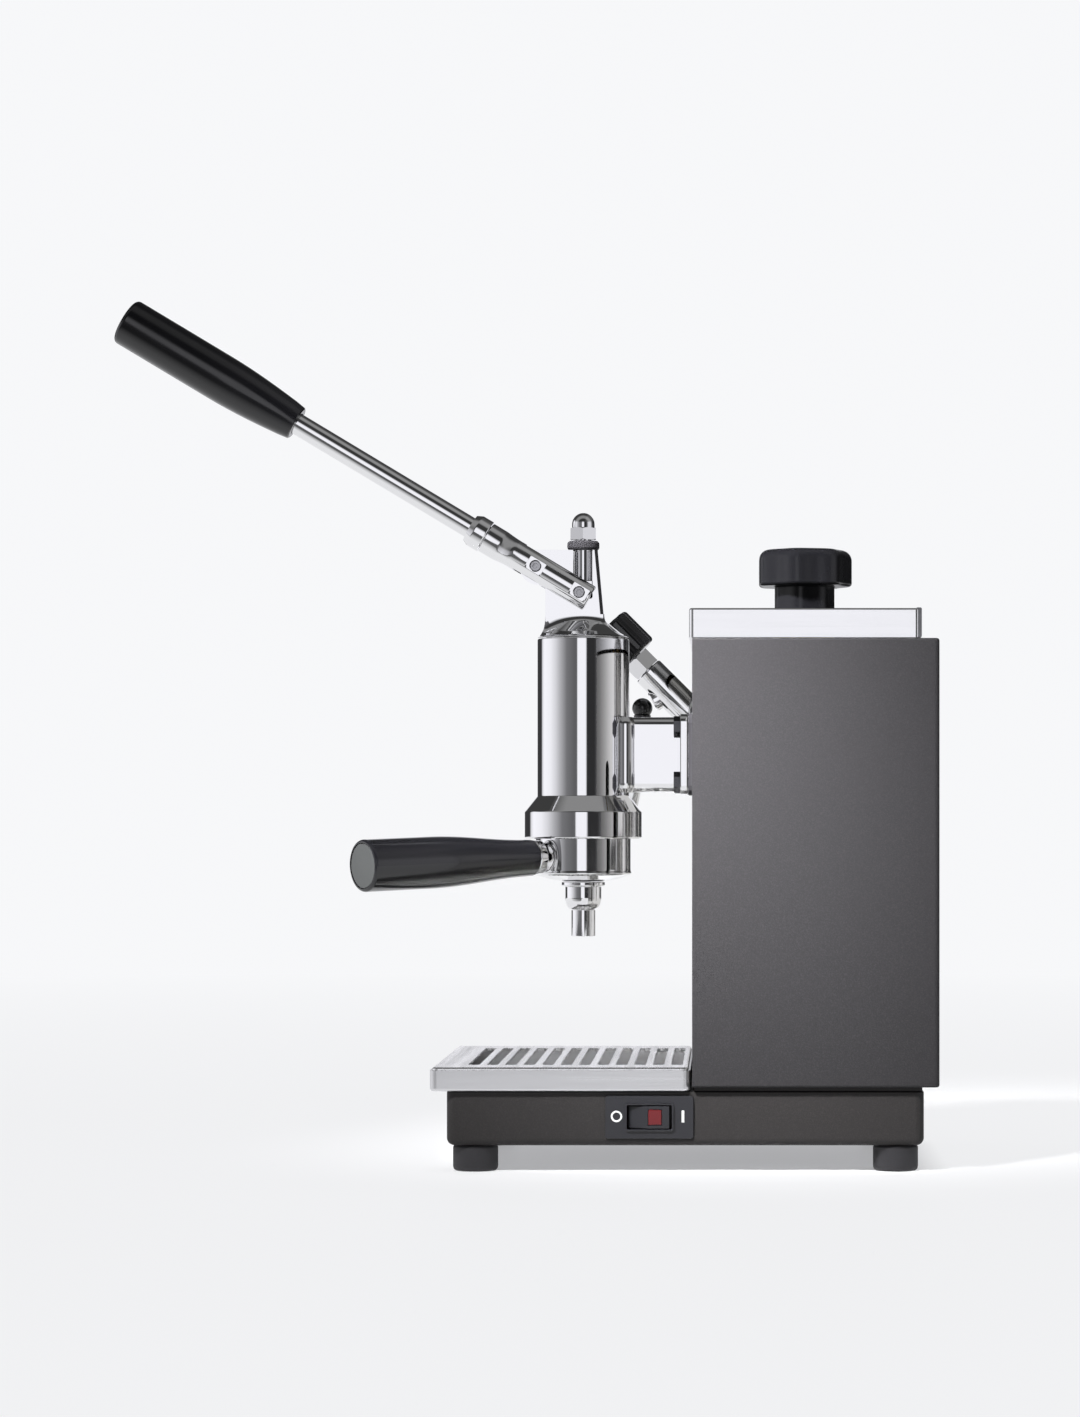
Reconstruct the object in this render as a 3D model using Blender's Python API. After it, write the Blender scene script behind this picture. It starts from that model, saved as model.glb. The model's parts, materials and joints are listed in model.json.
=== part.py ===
"""Spring-lever espresso machine, modelled as an assembly of separate pieces.

Metres, +Z up. The front of the machine faces -Y and +X is the right of the person who stands there.
Every piece hangs under an empty on the group's vertical axis, so in this file y is measured from that
axis and z from the surface that the machine stands on. The empty is placed so that the origin lies
under the middle of the machine's extents. The lever, the portafilter, the steam valve, the wand, the
switch and the boiler cap each have an empty of their own on the axis about which they turn.
"""

from math import asin, atan2, cos, pi, radians, sin, tau

import bmesh
import bpy
from mathutils import Vector

MM = 0.001

# Clearances and numbers of sides
FIT = 0.3 * MM              # between pieces that touch
RUN = 0.4 * MM              # between pieces that slide or turn
OVERRUN = 3.0 * MM          # how far a cutter passes the faces it opens
WELD = 0.001 * MM           # points closer than this are one point
BIG_SIDES = 40
SIDES = 24
SMALL_SIDES = 12
BEND_STEPS = 3
SLOT_STEPS = 2

# Base
FOOT_RADIUS = 12.0 * MM
FOOT_HEIGHT = 14.0 * MM
FOOT_CHAMFER = 1.5 * MM
FOOT_INSET = 14.6 * MM      # from the base's edges to a foot's axis
BASE_SIDE_INSET = 5.0 * MM  # from the housing's sides to the base's
BASE_DEPTH = 252.9 * MM
BASE_HEIGHT = 28.7 * MM
BASE_CORNER = 5.0 * MM
BASE_LOWER_EDGE = 4.0 * MM
BASE_SHEET = 1.5 * MM
BASE_LIP = 9.0 * MM         # return flange under the base that carries the bottom plate
BASE_REAR_INSET = 7.9 * MM  # from the housing's back to the base's back
CHASSIS_SHEET = 1.8 * MM
CHASSIS_INSET = 1.0 * MM    # from the base's sides to the chassis plate's

# Housing
HOUSING_WIDTH = 200.0 * MM
HOUSING_DEPTH = 130.7 * MM
HOUSING_HEIGHT = 237.4 * MM
HOUSING_REACH = 61.2 * MM   # from the group's axis to the housing's front
HOUSING_CORNER = 3.0 * MM
SHEET = 1.5 * MM
FLANGE = 10.0 * MM          # sheet turned in along the housing's top and bottom
LID_HEIGHT = 15.8 * MM
LID_OVERHANG = 1.6 * MM     # past the housing's front
LID_REAR_INSET = 10.3 * MM
LID_SIDE_INSET = 1.0 * MM
LID_CORNER = 2.5 * MM
LID_HEM = 4.0 * MM
LID_HEM_STEP = 0.9 * MM

# Drip tray and grate
TRAY_SIDE_INSET = 1.5 * MM  # from the housing's sides to the tray's
TRAY_HEIGHT = 11.0 * MM
TRAY_OVERHANG = 8.6 * MM    # past the base's front
TRAY_REAR_GAP = 1.0 * MM
TRAY_CORNER = 4.0 * MM
TRAY_SHEET = 1.0 * MM
TRAY_LEDGE = 3.0 * MM
GRATE_SHEET = 1.5 * MM
GRATE_SKIRT = 3.2 * MM      # its edge, turned down all round
GRATE_PROUD = 1.6 * MM      # above the tray's rim
GRATE_SLOTS = 12
GRATE_SLOT_WIDTH = 6.2 * MM
GRATE_SLOT_PITCH = 9.87 * MM
GRATE_SIDE_BAR = 23.5 * MM  # between the slots' ends and the tray's sides
GRATE_REAR_BAR = 3.0 * MM   # between the last slot and the plate's rear edge

# Group
GROUP_DROP = 106.2 * MM     # the bell's rim below the housing's top
BELL_RADIUS = 32.6 * MM
BELL_STRAIGHT = 14.8 * MM
BELL_FLARE = 8.3 * MM
BELL_BORE = 30.4 * MM
BELL_CEILING = 13.7 * MM    # above the rim
CYLINDER_RADIUS = 25.5 * MM
CYLINDER_HEIGHT = 87.6 * MM
CYLINDER_BORE = 20.5 * MM
NECK_WIDTH = 26.0 * MM
NECK_HEIGHT = 41.6 * MM
NECK_LIFT = 25.5 * MM       # neck's underside above the bell's rim
NECK_ROUND = 5.0 * MM
SADDLE_WIDTH = 36.0 * MM
SADDLE_REACH = 30.0 * MM    # from the group's axis
FLANGE_WIDTH = 52.0 * MM
FLANGE_HEIGHT = 44.4 * MM
FLANGE_THICKNESS = 4.1 * MM
FLANGE_ROUND = 5.0 * MM
GROUP_GASKET = 2.5 * MM
BOLT_RADIUS = 3.0 * MM
BOLT_HEAD = 5.0 * MM        # half the width across its flats
BOLT_HEAD_HEIGHT = 3.4 * MM
BOLT_LENGTH = 14.0 * MM     # under the head
BOLT_SPREAD = 40.0 * MM
BOLT_RISE = 30.5 * MM

# Bayonet between bell and portafilter
BAYONET_LEDGE = 4.2 * MM    # thickness of the bell's inner ledge
LUG_HEIGHT = 3.0 * MM
LUG_ARC = radians(46)
NOTCH_ARC = radians(56)
PORTAFILTER_TURN = radians(60)
HANDLE_ANGLE = radians(37)  # from straight ahead towards +X, locked
HANDLE_DROOP = radians(2)

# Screen, gasket and piston
SCREEN_THICKNESS = 1.5 * MM
SCREEN_DOME = 0.8 * MM
BELL_GASKET_HEIGHT = 4.1 * MM
PISTON_REST_GAP = 2.0 * MM  # above the screen
PISTON_HEIGHT = 22.0 * MM
SEAL_HEIGHT = 6.0 * MM
SEAL_DEPTH = 2.5 * MM
SEAL_SHARE = 0.45           # place of the seal's middle in the piston's height
ROD_RADIUS = 5.0 * MM
ROD_SOCKET = 9.0 * MM       # depth of the rod's seat in the piston
SPRING_WIRE = 4.0 * MM
SPRING_RADIUS = 15.5 * MM   # to the middle of the wire
SPRING_TURNS = 7
SPRING_TURN_STEPS = 10
SPRING_SIDES = 5

# Lever bracket
CONE_HEIGHT = 9.0 * MM
CONE_TOP_RADIUS = 13.2 * MM
CONE_SHOULDER_RADIUS = 20.6 * MM
CONE_SHOULDER_SHARE = 0.36
SPIGOT_HEIGHT = 4.0 * MM
TOWER_THICKNESS = 16.0 * MM
TOWER_FRONT = 20.7 * MM     # ahead of the group's axis
TOWER_REAR_LOW = 11.8 * MM
TOWER_REAR_HIGH = 8.2 * MM
TOWER_FLARE_HEIGHT = 4.0 * MM
TOWER_FLARE_HALF = 17.0 * MM
GUSSET_HEIGHT = 12.0 * MM
GUSSET_DEPTH = 8.5 * MM
GUSSET_WIDTH = 3.0 * MM     # how far the gusset stands out of the tower's side

# Lever: distances along it are measured from the fulcrum pin
FULCRUM_REACH = 26.0 * MM   # ahead of the group's axis
FULCRUM_RISE = 39.4 * MM    # above the bracket's seat
PIN_DISTANCE = 28.0 * MM    # fulcrum pin to crosshead pin
PIN_RADIUS = 3.0 * MM
LEVER_ANGLE = radians(31)   # above horizontal at rest, and below it when pulled
LOBE_RADIUS = 9.2 * MM
FORK_WIDTH = 27.0 * MM
FORK_DEPTH = 16.0 * MM
FORK_TAIL = 6.5 * MM        # past the crosshead pin
FORK_GAP_SIDE = 0.5 * MM    # beside the tower
FORK_WEB = 10.3 * MM        # where the arms meet
FORK_SHOULDER = 14.0 * MM
FORK_NOSE = 24.0 * MM       # where the fork is round
FORK_END = 32.5 * MM
SOCKET_RADIUS = 8.8 * MM
PIN_FLAT = 10.0 * MM        # side of the square flat milled round a pin
PIN_FLAT_DEPTH = 0.9 * MM
COLLAR_RADIUS = 9.4 * MM
COLLAR_LENGTH = 10.2 * MM
COLLAR_CHAMFER = 1.6 * MM
LEVER_ROD_RADIUS = 6.0 * MM
LEVER_ROD_SEAT = 12.0 * MM  # rod inside the fork
GRIP_START = 155.0 * MM
GRIP_END = 266.0 * MM
GRIP_SEAT = 20.0 * MM       # rod inside the grip
GRIP_BUTT_RADIUS = 13.3 * MM
GRIP_WAIST_RADIUS = 9.9 * MM
GRIP_ROUND = 2.5 * MM

# Crosshead, bumper and nut on the piston rod
CROSSHEAD_HEIGHT = 14.0 * MM
CROSSHEAD_WIDTH = 10.4 * MM
CROSSHEAD_WALL = 4.2 * MM
BUMPER_RADIUS = 8.9 * MM
BUMPER_HEIGHT = 5.0 * MM
BUMPER_ROUND = 1.3 * MM
NUT_FLATS = 7.0 * MM        # half the width across its flats
NUT_HEX_HEIGHT = 6.8 * MM
NUT_DOME_HEIGHT = 8.4 * MM
NUT_DOME_RADIUS = 6.3 * MM
STUD_RADIUS = 4.0 * MM
STUD_HEIGHT = 9.0 * MM

# Portafilter: distances along its handle are measured from the group's axis
HOLDER_RADIUS = 26.4 * MM
HOLDER_HEIGHT = 19.6 * MM   # straight wall below the bell's rim
HOLDER_DOME = 3.9 * MM
HOLDER_LIP = 1.0 * MM
HOLDER_LIP_HEIGHT = 1.8 * MM
HOLDER_RIM = 7.7 * MM       # above the bell's rim
HOLDER_BORE = 23.4 * MM
HOLDER_FLOOR = 4.6 * MM
BASKET_WALL = 0.8 * MM
BASKET_DEPTH = 21.5 * MM
BASKET_TAPER = 1.0 * MM
BASKET_RIM_RADIUS = 25.8 * MM
OUTLET_RADIUS = 4.6 * MM
SPOUT_DISC_RADIUS = 12.0 * MM
SPOUT_DISC_HEIGHT = 2.6 * MM
SPOUT_CUP_RADIUS = 10.0 * MM
SPOUT_CUP_HEIGHT = 13.3 * MM
SPOUT_TUBE_RADIUS = 6.6 * MM
SPOUT_TUBE_HEIGHT = 14.4 * MM
FERRULE_END = 34.5 * MM
FERRULE_RADIUS = 8.2 * MM
FERRULE_RING_RADIUS = 9.6 * MM
HANDLE_AXIS_DROP = 9.3 * MM  # handle's axis below the bell's rim
HANDLE_END = 143.0 * MM
HANDLE_BUTT_RADIUS = 14.0 * MM
HANDLE_NECK_RADIUS = 10.0 * MM
HANDLE_ROUND = 1.6 * MM
DISC_RADIUS = 12.0 * MM
DISC_THICKNESS = 1.6 * MM

# Boiler
BOILER_REACH = 122.3 * MM   # behind the group's axis
BOILER_RADIUS = 54.0 * MM
BOILER_STAND = 36.9 * MM    # its underside above the housing's bottom
BOILER_ROOM = 20.5 * MM     # its top below the housing's top
BOILER_WALL = 2.5 * MM
BOILER_DOME = 12.0 * MM
BOILER_SEAT_WIDTH = 50.0 * MM
FILLER_RADIUS = 17.0 * MM
FILLER_BORE = 13.0 * MM
HEATER_BORE = 19.0 * MM
HEATER_BOSS = 26.0 * MM
HEATER_BOSS_HEIGHT = 6.0 * MM
HEATER_FLANGE = 6.0 * MM
HEATER_TUBE = 4.0 * MM
HEATER_LEG_SPREAD = 12.0 * MM
HEATER_LOOP_RADIUS = 30.0 * MM
HEATER_LOOP_HEIGHT = 24.0 * MM
HEATER_BEND = 8.0 * MM
BOSS_RADIUS = 6.5 * MM
BOSS_HEIGHT = 6.0 * MM
TOP_BOSS_SPREAD = 30.0 * MM
VALVE_HEX = 7.0 * MM
VALVE_HEX_HEIGHT = 9.0 * MM
VALVE_CAP_RADIUS = 5.0 * MM
VALVE_CAP_HEIGHT = 9.0 * MM
PRESSURE_RADIUS = 15.0 * MM
PRESSURE_ROOM = 10.2 * MM   # between the switch and the housing's side
PRESSURE_NECK = 4.0 * MM
PRESSURE_DROP = 37.0 * MM   # below the boiler's top
PIPE_RADIUS = 3.0 * MM
PIPE_RISE = 12.0 * MM
PIPE_RUN = 18.0 * MM
PIPE_BEND = 8.0 * MM

# Sight glass
SIGHT_X = 44.0 * MM
SIGHT_END = 30.0 * MM       # from the boiler's ends to the glass's fittings
SIGHT_GLASS_RADIUS = 4.5 * MM
SIGHT_BLOCK = 14.0 * MM
SIGHT_BLOCK_HEIGHT = 12.0 * MM
SIGHT_WINDOW_WIDTH = 12.0 * MM
SIGHT_SETBACK = 3.0 * MM    # behind the front panel

# Boiler cap
CAP_NECK_RADIUS = 17.0 * MM
CAP_NECK_HEIGHT = 17.2 * MM
CAP_FLUTE = 0.9 * MM
CAP_HEAD_RADIUS = 26.6 * MM
CAP_HEAD_HEIGHT = 20.3 * MM
CAP_SCALLOP = 2.6 * MM
CAP_ROUND = 6.0 * MM
CAP_LOBES = 7
CAP_PLUG_LENGTH = 16.0 * MM
CAP_GASKET = 1.6 * MM

# Steam valve on the far side, distances along its slanting axis from the housing's face
STEAM_X = 55.0 * MM
STEAM_DROP = 37.2 * MM      # below the housing's top
STEAM_SLANT = radians(45)
VALVE_RADIUS = 9.0 * MM
VALVE_LENGTH = 37.5 * MM
VALVE_ROSE_RADIUS = 12.5 * MM
VALVE_ROSE = 3.0 * MM
VALVE_INLET_RADIUS = 6.5 * MM
VALVE_INLET_LENGTH = 9.0 * MM
GLAND_FLATS = 8.0 * MM
GLAND_LENGTH = 9.5 * MM
SPINDLE_RADIUS = 4.0 * MM
SPINDLE_SEAT = 10.0 * MM
STEAM_KNOB_RADIUS = 15.0 * MM
STEAM_KNOB_LENGTH = 23.8 * MM
STEAM_KNOB_HUB = 8.6 * MM
STEAM_KNOB_HUB_LENGTH = 4.0 * MM
STEAM_KNOB_RIBS = 12
STEAM_KNOB_RIB = 0.8 * MM
OUTLET_START = 20.0 * MM
OUTLET_SLANT = radians(30)  # below horizontal, to the front
OUTLET_LENGTH = 11.2 * MM
OUTLET_BOSS = 6.0 * MM
BALL_RADIUS = 6.5 * MM
BALL_NECK_RADIUS = 4.8 * MM
BALL_NECK = 3.0 * MM
WAND_RADIUS = 3.6 * MM
WAND_DROP = 86.0 * MM
WAND_OUT = 34.0 * MM
WAND_FORWARD = 15.0 * MM
WAND_NECK = 16.0 * MM
WAND_BEND = 13.0 * MM

# Switch in the base's right-hand side, and the mains inlet in its back
SWITCH_REACH = 38.6 * MM    # behind the group's axis
SWITCH_LIFT = 0.9 * MM      # above the base's middle
SWITCH_PLATE_LENGTH = 46.6 * MM
SWITCH_PLATE_HEIGHT = 22.6 * MM
SWITCH_PLATE = 1.0 * MM
SWITCH_BODY_DEPTH = 18.0 * MM
SWITCH_BEZEL = 1.3 * MM
SWITCH_BEZEL_WALL = 1.4 * MM
ROCKER_LENGTH = 23.0 * MM
ROCKER_HEIGHT = 12.0 * MM
ROCKER_TILT = radians(8)
ROCKER_PEAK = 4.2 * MM      # the ridge, out from the rocker's axis
LAMP_LENGTH = 7.0 * MM
LAMP_HEIGHT = 8.0 * MM
LAMP_DEPTH = 1.6 * MM
INLET_X = -55.0 * MM
INLET_WIDTH = 24.4 * MM
INLET_HEIGHT = 16.8 * MM
INLET_DEPTH = 17.0 * MM
INLET_WALL = 1.8 * MM
INLET_FLANGE = 3.0 * MM
INLET_FLANGE_THICKNESS = 1.5 * MM
PIN_BLADE_WIDTH = 4.0 * MM
PIN_BLADE_THICKNESS = 2.0 * MM
PIN_BLADE_LENGTH = 13.0 * MM
PIN_BLADE_SPREAD = 7.0 * MM
PIN_BLADE_DROP = 2.6 * MM

# Sizes and places that follow from those above
BASE_WIDTH = HOUSING_WIDTH - 2 * BASE_SIDE_INSET
TRAY_WIDTH = HOUSING_WIDTH - 2 * TRAY_SIDE_INSET
GRATE_SLOT_LENGTH = TRAY_WIDTH - 2 * GRATE_SIDE_BAR
BASE_TOP = FOOT_HEIGHT + BASE_HEIGHT
CHASSIS_TOP = BASE_TOP + FIT + CHASSIS_SHEET
HOUSING_BOTTOM = CHASSIS_TOP + FIT
HOUSING_TOP = HOUSING_BOTTOM + HOUSING_HEIGHT
HOUSING_REAR = HOUSING_REACH + HOUSING_DEPTH
BASE_REAR = HOUSING_REAR - BASE_REAR_INSET
BASE_FRONT = BASE_REAR - BASE_DEPTH
LID_TOP = HOUSING_TOP + LID_HEIGHT
TRAY_FRONT = BASE_FRONT - TRAY_OVERHANG
TRAY_REAR = HOUSING_REACH - TRAY_REAR_GAP
TRAY_BOTTOM = BASE_TOP + FIT
TRAY_TOP = TRAY_BOTTOM + TRAY_HEIGHT
GROUP_HEIGHT = HOUSING_TOP - GROUP_DROP
CYLINDER_TOP = GROUP_HEIGHT + BELL_STRAIGHT + BELL_FLARE + CYLINDER_HEIGHT
CEILING = GROUP_HEIGHT + BELL_CEILING
NECK_BOTTOM = GROUP_HEIGHT + NECK_LIFT
NECK_MIDDLE = NECK_BOTTOM + NECK_HEIGHT / 2
FLANGE_REAR = HOUSING_REACH - GROUP_GASKET - 2 * FIT
SCREEN_BOTTOM = CEILING - FIT - SCREEN_THICKNESS
PISTON_BOTTOM = CEILING + PISTON_REST_GAP
PISTON_TOP = PISTON_BOTTOM + PISTON_HEIGHT
BRACKET_BOTTOM = CYLINDER_TOP + FIT
FULCRUM_HEIGHT = BRACKET_BOTTOM + FULCRUM_RISE
TOWER_BOTTOM = BRACKET_BOTTOM + CONE_HEIGHT + TOWER_FLARE_HEIGHT
TOWER_TOP = FULCRUM_HEIGHT + LOBE_RADIUS
CROSSHEAD_PIN_Y = -FULCRUM_REACH + PIN_DISTANCE * cos(LEVER_ANGLE)
CROSSHEAD_PIN_Z = FULCRUM_HEIGHT - PIN_DISTANCE * sin(LEVER_ANGLE)
PIN_SWEEP = max(abs(CROSSHEAD_PIN_Y), abs(PIN_DISTANCE - FULCRUM_REACH))
WINDOW_HALF = PIN_SWEEP + PIN_RADIUS + RUN
LEVER_FRONT = (FULCRUM_REACH + (GRIP_END - GRIP_ROUND) * cos(LEVER_ANGLE)
               + (GRIP_BUTT_RADIUS - GRIP_ROUND) * sin(LEVER_ANGLE) + GRIP_ROUND)
MACHINE_Y = (LEVER_FRONT - HOUSING_REAR) / 2
HOLDER_BOTTOM = GROUP_HEIGHT - HOLDER_HEIGHT
HOLDER_TOP = GROUP_HEIGHT + HOLDER_RIM
BOILER_BOTTOM = HOUSING_BOTTOM + BOILER_STAND
BOILER_TOP = HOUSING_TOP - BOILER_ROOM
FILLER_TOP = LID_TOP - FIT - CAP_GASKET
PRESSURE_START = BOILER_RADIUS + BOSS_HEIGHT + FIT
PRESSURE_LENGTH = HOUSING_WIDTH / 2 - SHEET - PRESSURE_ROOM - PRESSURE_START - PRESSURE_NECK
PRESSURE_HEIGHT = BOILER_TOP - PRESSURE_DROP
SIGHT_LOW = BOILER_BOTTOM + SIGHT_END
SIGHT_HIGH = BOILER_TOP - SIGHT_END
STEAM_HEIGHT = HOUSING_TOP - STEAM_DROP
BALL_Y = (HOUSING_REACH - OUTLET_START * sin(STEAM_SLANT)
          - (OUTLET_LENGTH + FIT + BALL_RADIUS) * cos(OUTLET_SLANT))
BALL_Z = (STEAM_HEIGHT + OUTLET_START * cos(STEAM_SLANT)
          - (OUTLET_LENGTH + FIT + BALL_RADIUS) * sin(OUTLET_SLANT))
SWITCH_Z = FOOT_HEIGHT + BASE_HEIGHT / 2 + SWITCH_LIFT
SWITCH_FACE = BASE_WIDTH / 2 + FIT + SWITCH_PLATE


# Scene and finishes

def empty_scene():
    for item in list(bpy.data.objects):
        bpy.data.objects.remove(item)


def finish(name, colour, metallic, roughness, transmission=0.0):
    """A Principled material with the piece's colour, metallic value and roughness."""
    material = bpy.data.materials.new(name)
    material.use_nodes = True
    shader = material.node_tree.nodes["Principled BSDF"]
    shader.inputs["Base Color"].default_value = (*colour, 1.0)
    shader.inputs["Metallic"].default_value = metallic
    shader.inputs["Roughness"].default_value = roughness
    shader.inputs["Transmission Weight"].default_value = transmission
    material.diffuse_color = (*colour, 1.0)
    return material


def make_finishes():
    return {
        "chrome": finish("chrome", (0.80, 0.80, 0.81), 1.0, 0.06),
        "satin": finish("satin_steel", (0.66, 0.66, 0.67), 1.0, 0.30),
        "coat": finish("dark_coat", (0.105, 0.102, 0.106), 0.0, 0.55),
        "base_coat": finish("base_coat", (0.055, 0.052, 0.054), 0.0, 0.50),
        "black": finish("black_gloss", (0.008, 0.008, 0.009), 0.0, 0.12),
        "rubber": finish("rubber", (0.030, 0.030, 0.033), 0.0, 0.75),
        "plastic": finish("switch_plastic", (0.018, 0.018, 0.020), 0.0, 0.35),
        "red": finish("red_lamp", (0.45, 0.01, 0.015), 0.0, 0.20),
        "brass": finish("brass", (0.60, 0.42, 0.16), 1.0, 0.30),
        "copper": finish("copper", (0.72, 0.32, 0.20), 1.0, 0.35),
        "steel": finish("steel", (0.45, 0.45, 0.47), 1.0, 0.35),
        "glass": finish("glass", (0.90, 0.95, 0.93), 0.0, 0.02, 0.9),
        "seal": finish("silicone", (0.35, 0.08, 0.05), 0.0, 0.60),
        "disc": finish("grey_disc", (0.075, 0.078, 0.080), 0.0, 0.40),
    }


def axis_empty(name, parent, place, turn=(0.0, 0.0, 0.0)):
    empty = bpy.data.objects.new(name, None)
    bpy.context.scene.collection.objects.link(empty)
    empty.parent = parent
    empty.location = place
    empty.rotation_euler = turn
    return empty


def piece(name, shape, material, parent, place=(0.0, 0.0, 0.0), turn=(0.0, 0.0, 0.0)):
    """Turn a bmesh into a named object with its finish, under its parent."""
    mesh = bpy.data.meshes.new(name)
    shape.to_mesh(mesh)
    shape.free()
    mesh.materials.append(material)
    mesh.shade_smooth()
    mesh.set_sharp_from_angle(angle=radians(35))
    item = bpy.data.objects.new(name, mesh)
    bpy.context.scene.collection.objects.link(item)
    item.parent = parent
    item.location = place
    item.rotation_euler = turn
    return item


def combine(target, shape, operation, place=(0.0, 0.0, 0.0), turn=(0.0, 0.0, 0.0)):
    """Cut a shape from a piece, or join it on. The shape is placed in the piece's parent's frame."""
    tool = piece(f"{target.name}.tool", shape, target.data.materials[0], target.parent, place, turn)
    tool.display_type = "WIRE"
    tool.hide_render = True
    modifier = target.modifiers.new(operation.lower(), "BOOLEAN")
    modifier.operation = operation
    modifier.solver = "EXACT"
    modifier.object = tool


def cut(target, shape, place=(0.0, 0.0, 0.0), turn=(0.0, 0.0, 0.0)):
    combine(target, shape, "DIFFERENCE", place, turn)


def join(target, shape, place=(0.0, 0.0, 0.0), turn=(0.0, 0.0, 0.0)):
    combine(target, shape, "UNION", place, turn)


# Shapes

def tidy(shape):
    bmesh.ops.remove_doubles(shape, verts=shape.verts, dist=WELD)
    bmesh.ops.recalc_face_normals(shape, faces=shape.faces)
    return shape


def turned(profile, sides=SIDES):
    """A solid turned about Z from (radius, height) points, a ring where it keeps off the axis."""
    shape = bmesh.new()
    corners = [shape.verts.new((radius, 0.0, height)) for radius, height in profile]
    edges = [shape.edges.new(pair) for pair in zip(corners, corners[1:])]
    if profile[0][0] > 0:
        edges.append(shape.edges.new((corners[-1], corners[0])))
    bmesh.ops.spin(shape, geom=corners + edges, cent=(0, 0, 0), axis=(0, 0, 1),
                   angle=tau, steps=sides, use_merge=True)
    return tidy(shape)


def disc(radius, low, high, sides=SIDES):
    return turned([(0.0, low), (radius, low), (radius, high), (0.0, high)], sides)


def hexagon(flats, low, high):
    """A hexagonal prism, with two of its flats facing along X."""
    corners = [Vector((flats / cos(pi / 6), 0.0)) for _ in range(6)]
    outline = [(c.x * cos(tau * (k + 0.5) / 6), c.x * sin(tau * (k + 0.5) / 6))
               for k, c in enumerate(corners)]
    return prism(outline, low, high)


def prism(outline, low, high, along="Z"):
    """Extrude an outline of two coordinates along an axis: (x, y), (y, z) for X, or (x, z) for Y."""
    shape = bmesh.new()
    order = {"Z": lambda a, b: (a, b, low), "X": lambda a, b: (low, a, b), "Y": lambda a, b: (a, low, b)}
    rise = {"Z": (0, 0, high - low), "X": (high - low, 0, 0), "Y": (0, high - low, 0)}
    face = shape.faces.new([shape.verts.new(order[along](a, b)) for a, b in outline])
    grown = bmesh.ops.extrude_face_region(shape, geom=[face])
    moved = [part for part in grown["geom"] if isinstance(part, bmesh.types.BMVert)]
    bmesh.ops.translate(shape, verts=moved, vec=rise[along])
    return tidy(shape)


def block(low, high):
    """A box between two corners."""
    outline = [(low[0], low[1]), (high[0], low[1]), (high[0], high[1]), (low[0], high[1])]
    return prism(outline, low[2], high[2])


def arc(centre, radius, start, end, steps):
    """Points on an arc, both ends included."""
    angles = [start + (end - start) * k / steps for k in range(steps + 1)]
    return [(centre[0] + radius * cos(a), centre[1] + radius * sin(a)) for a in angles]


def rounded(low, high, radius, steps=BEND_STEPS):
    """A rectangle's outline between two corners, with round corners."""
    left, right = low[0] + radius, high[0] - radius
    bottom, top = low[1] + radius, high[1] - radius
    return (arc((right, bottom), radius, -pi / 2, 0, steps) + arc((right, top), radius, 0, pi / 2, steps)
            + arc((left, top), radius, pi / 2, pi, steps) + arc((left, bottom), radius, pi, 1.5 * pi, steps))


def loft(rings):
    """Join rings of points, each with as many points as the next, and close both ends."""
    shape = bmesh.new()
    loops = [[shape.verts.new(point) for point in ring] for ring in rings]
    for lower, upper in zip(loops, loops[1:]):
        for k, corner in enumerate(lower):
            after = (k + 1) % len(lower)
            shape.faces.new((corner, lower[after], upper[after], upper[k]))
    shape.faces.new(loops[0])
    shape.faces.new(loops[-1])
    return tidy(shape)


def tube(path, radius, sides):
    """A round bar along a path, its sections carried along without twist."""
    points = [Vector(point) for point in path]
    ways = [(points[min(k + 1, len(points) - 1)] - points[max(k - 1, 0)]).normalized()
            for k in range(len(points))]
    side = ways[0].orthogonal().normalized()
    rings = []
    for point, way in zip(points, ways):
        side = (side - way * side.dot(way)).normalized()
        up = way.cross(side)
        rings.append([point + radius * (cos(tau * k / sides) * side + sin(tau * k / sides) * up)
                      for k in range(sides)])
    return loft(rings)


def edges_at(shape, height):
    """The edges that lie level at a height."""
    return [edge for edge in shape.edges if all(abs(v.co.z - height) < WELD for v in edge.verts)]


def soften(shape, edges, width, steps=BEND_STEPS):
    bmesh.ops.bevel(shape, geom=edges, offset=width, segments=steps, affect="EDGES", profile=0.5)
    return tidy(shape)


def bent(corners, back, steps):
    """A path of straight runs, each corner rounded off over a length to both sides of it."""
    points = [Vector(corner) for corner in corners]
    path = [points[0]]
    for before, corner, after in zip(points, points[1:], points[2:]):
        start = corner + (before - corner).normalized() * back
        end = corner + (after - corner).normalized() * back
        for k in range(steps + 1):
            share = k / steps
            path.append(start.lerp(corner, share).lerp(corner.lerp(end, share), share))
    return path + [points[-1]]


# Base, housing and lid

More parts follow.
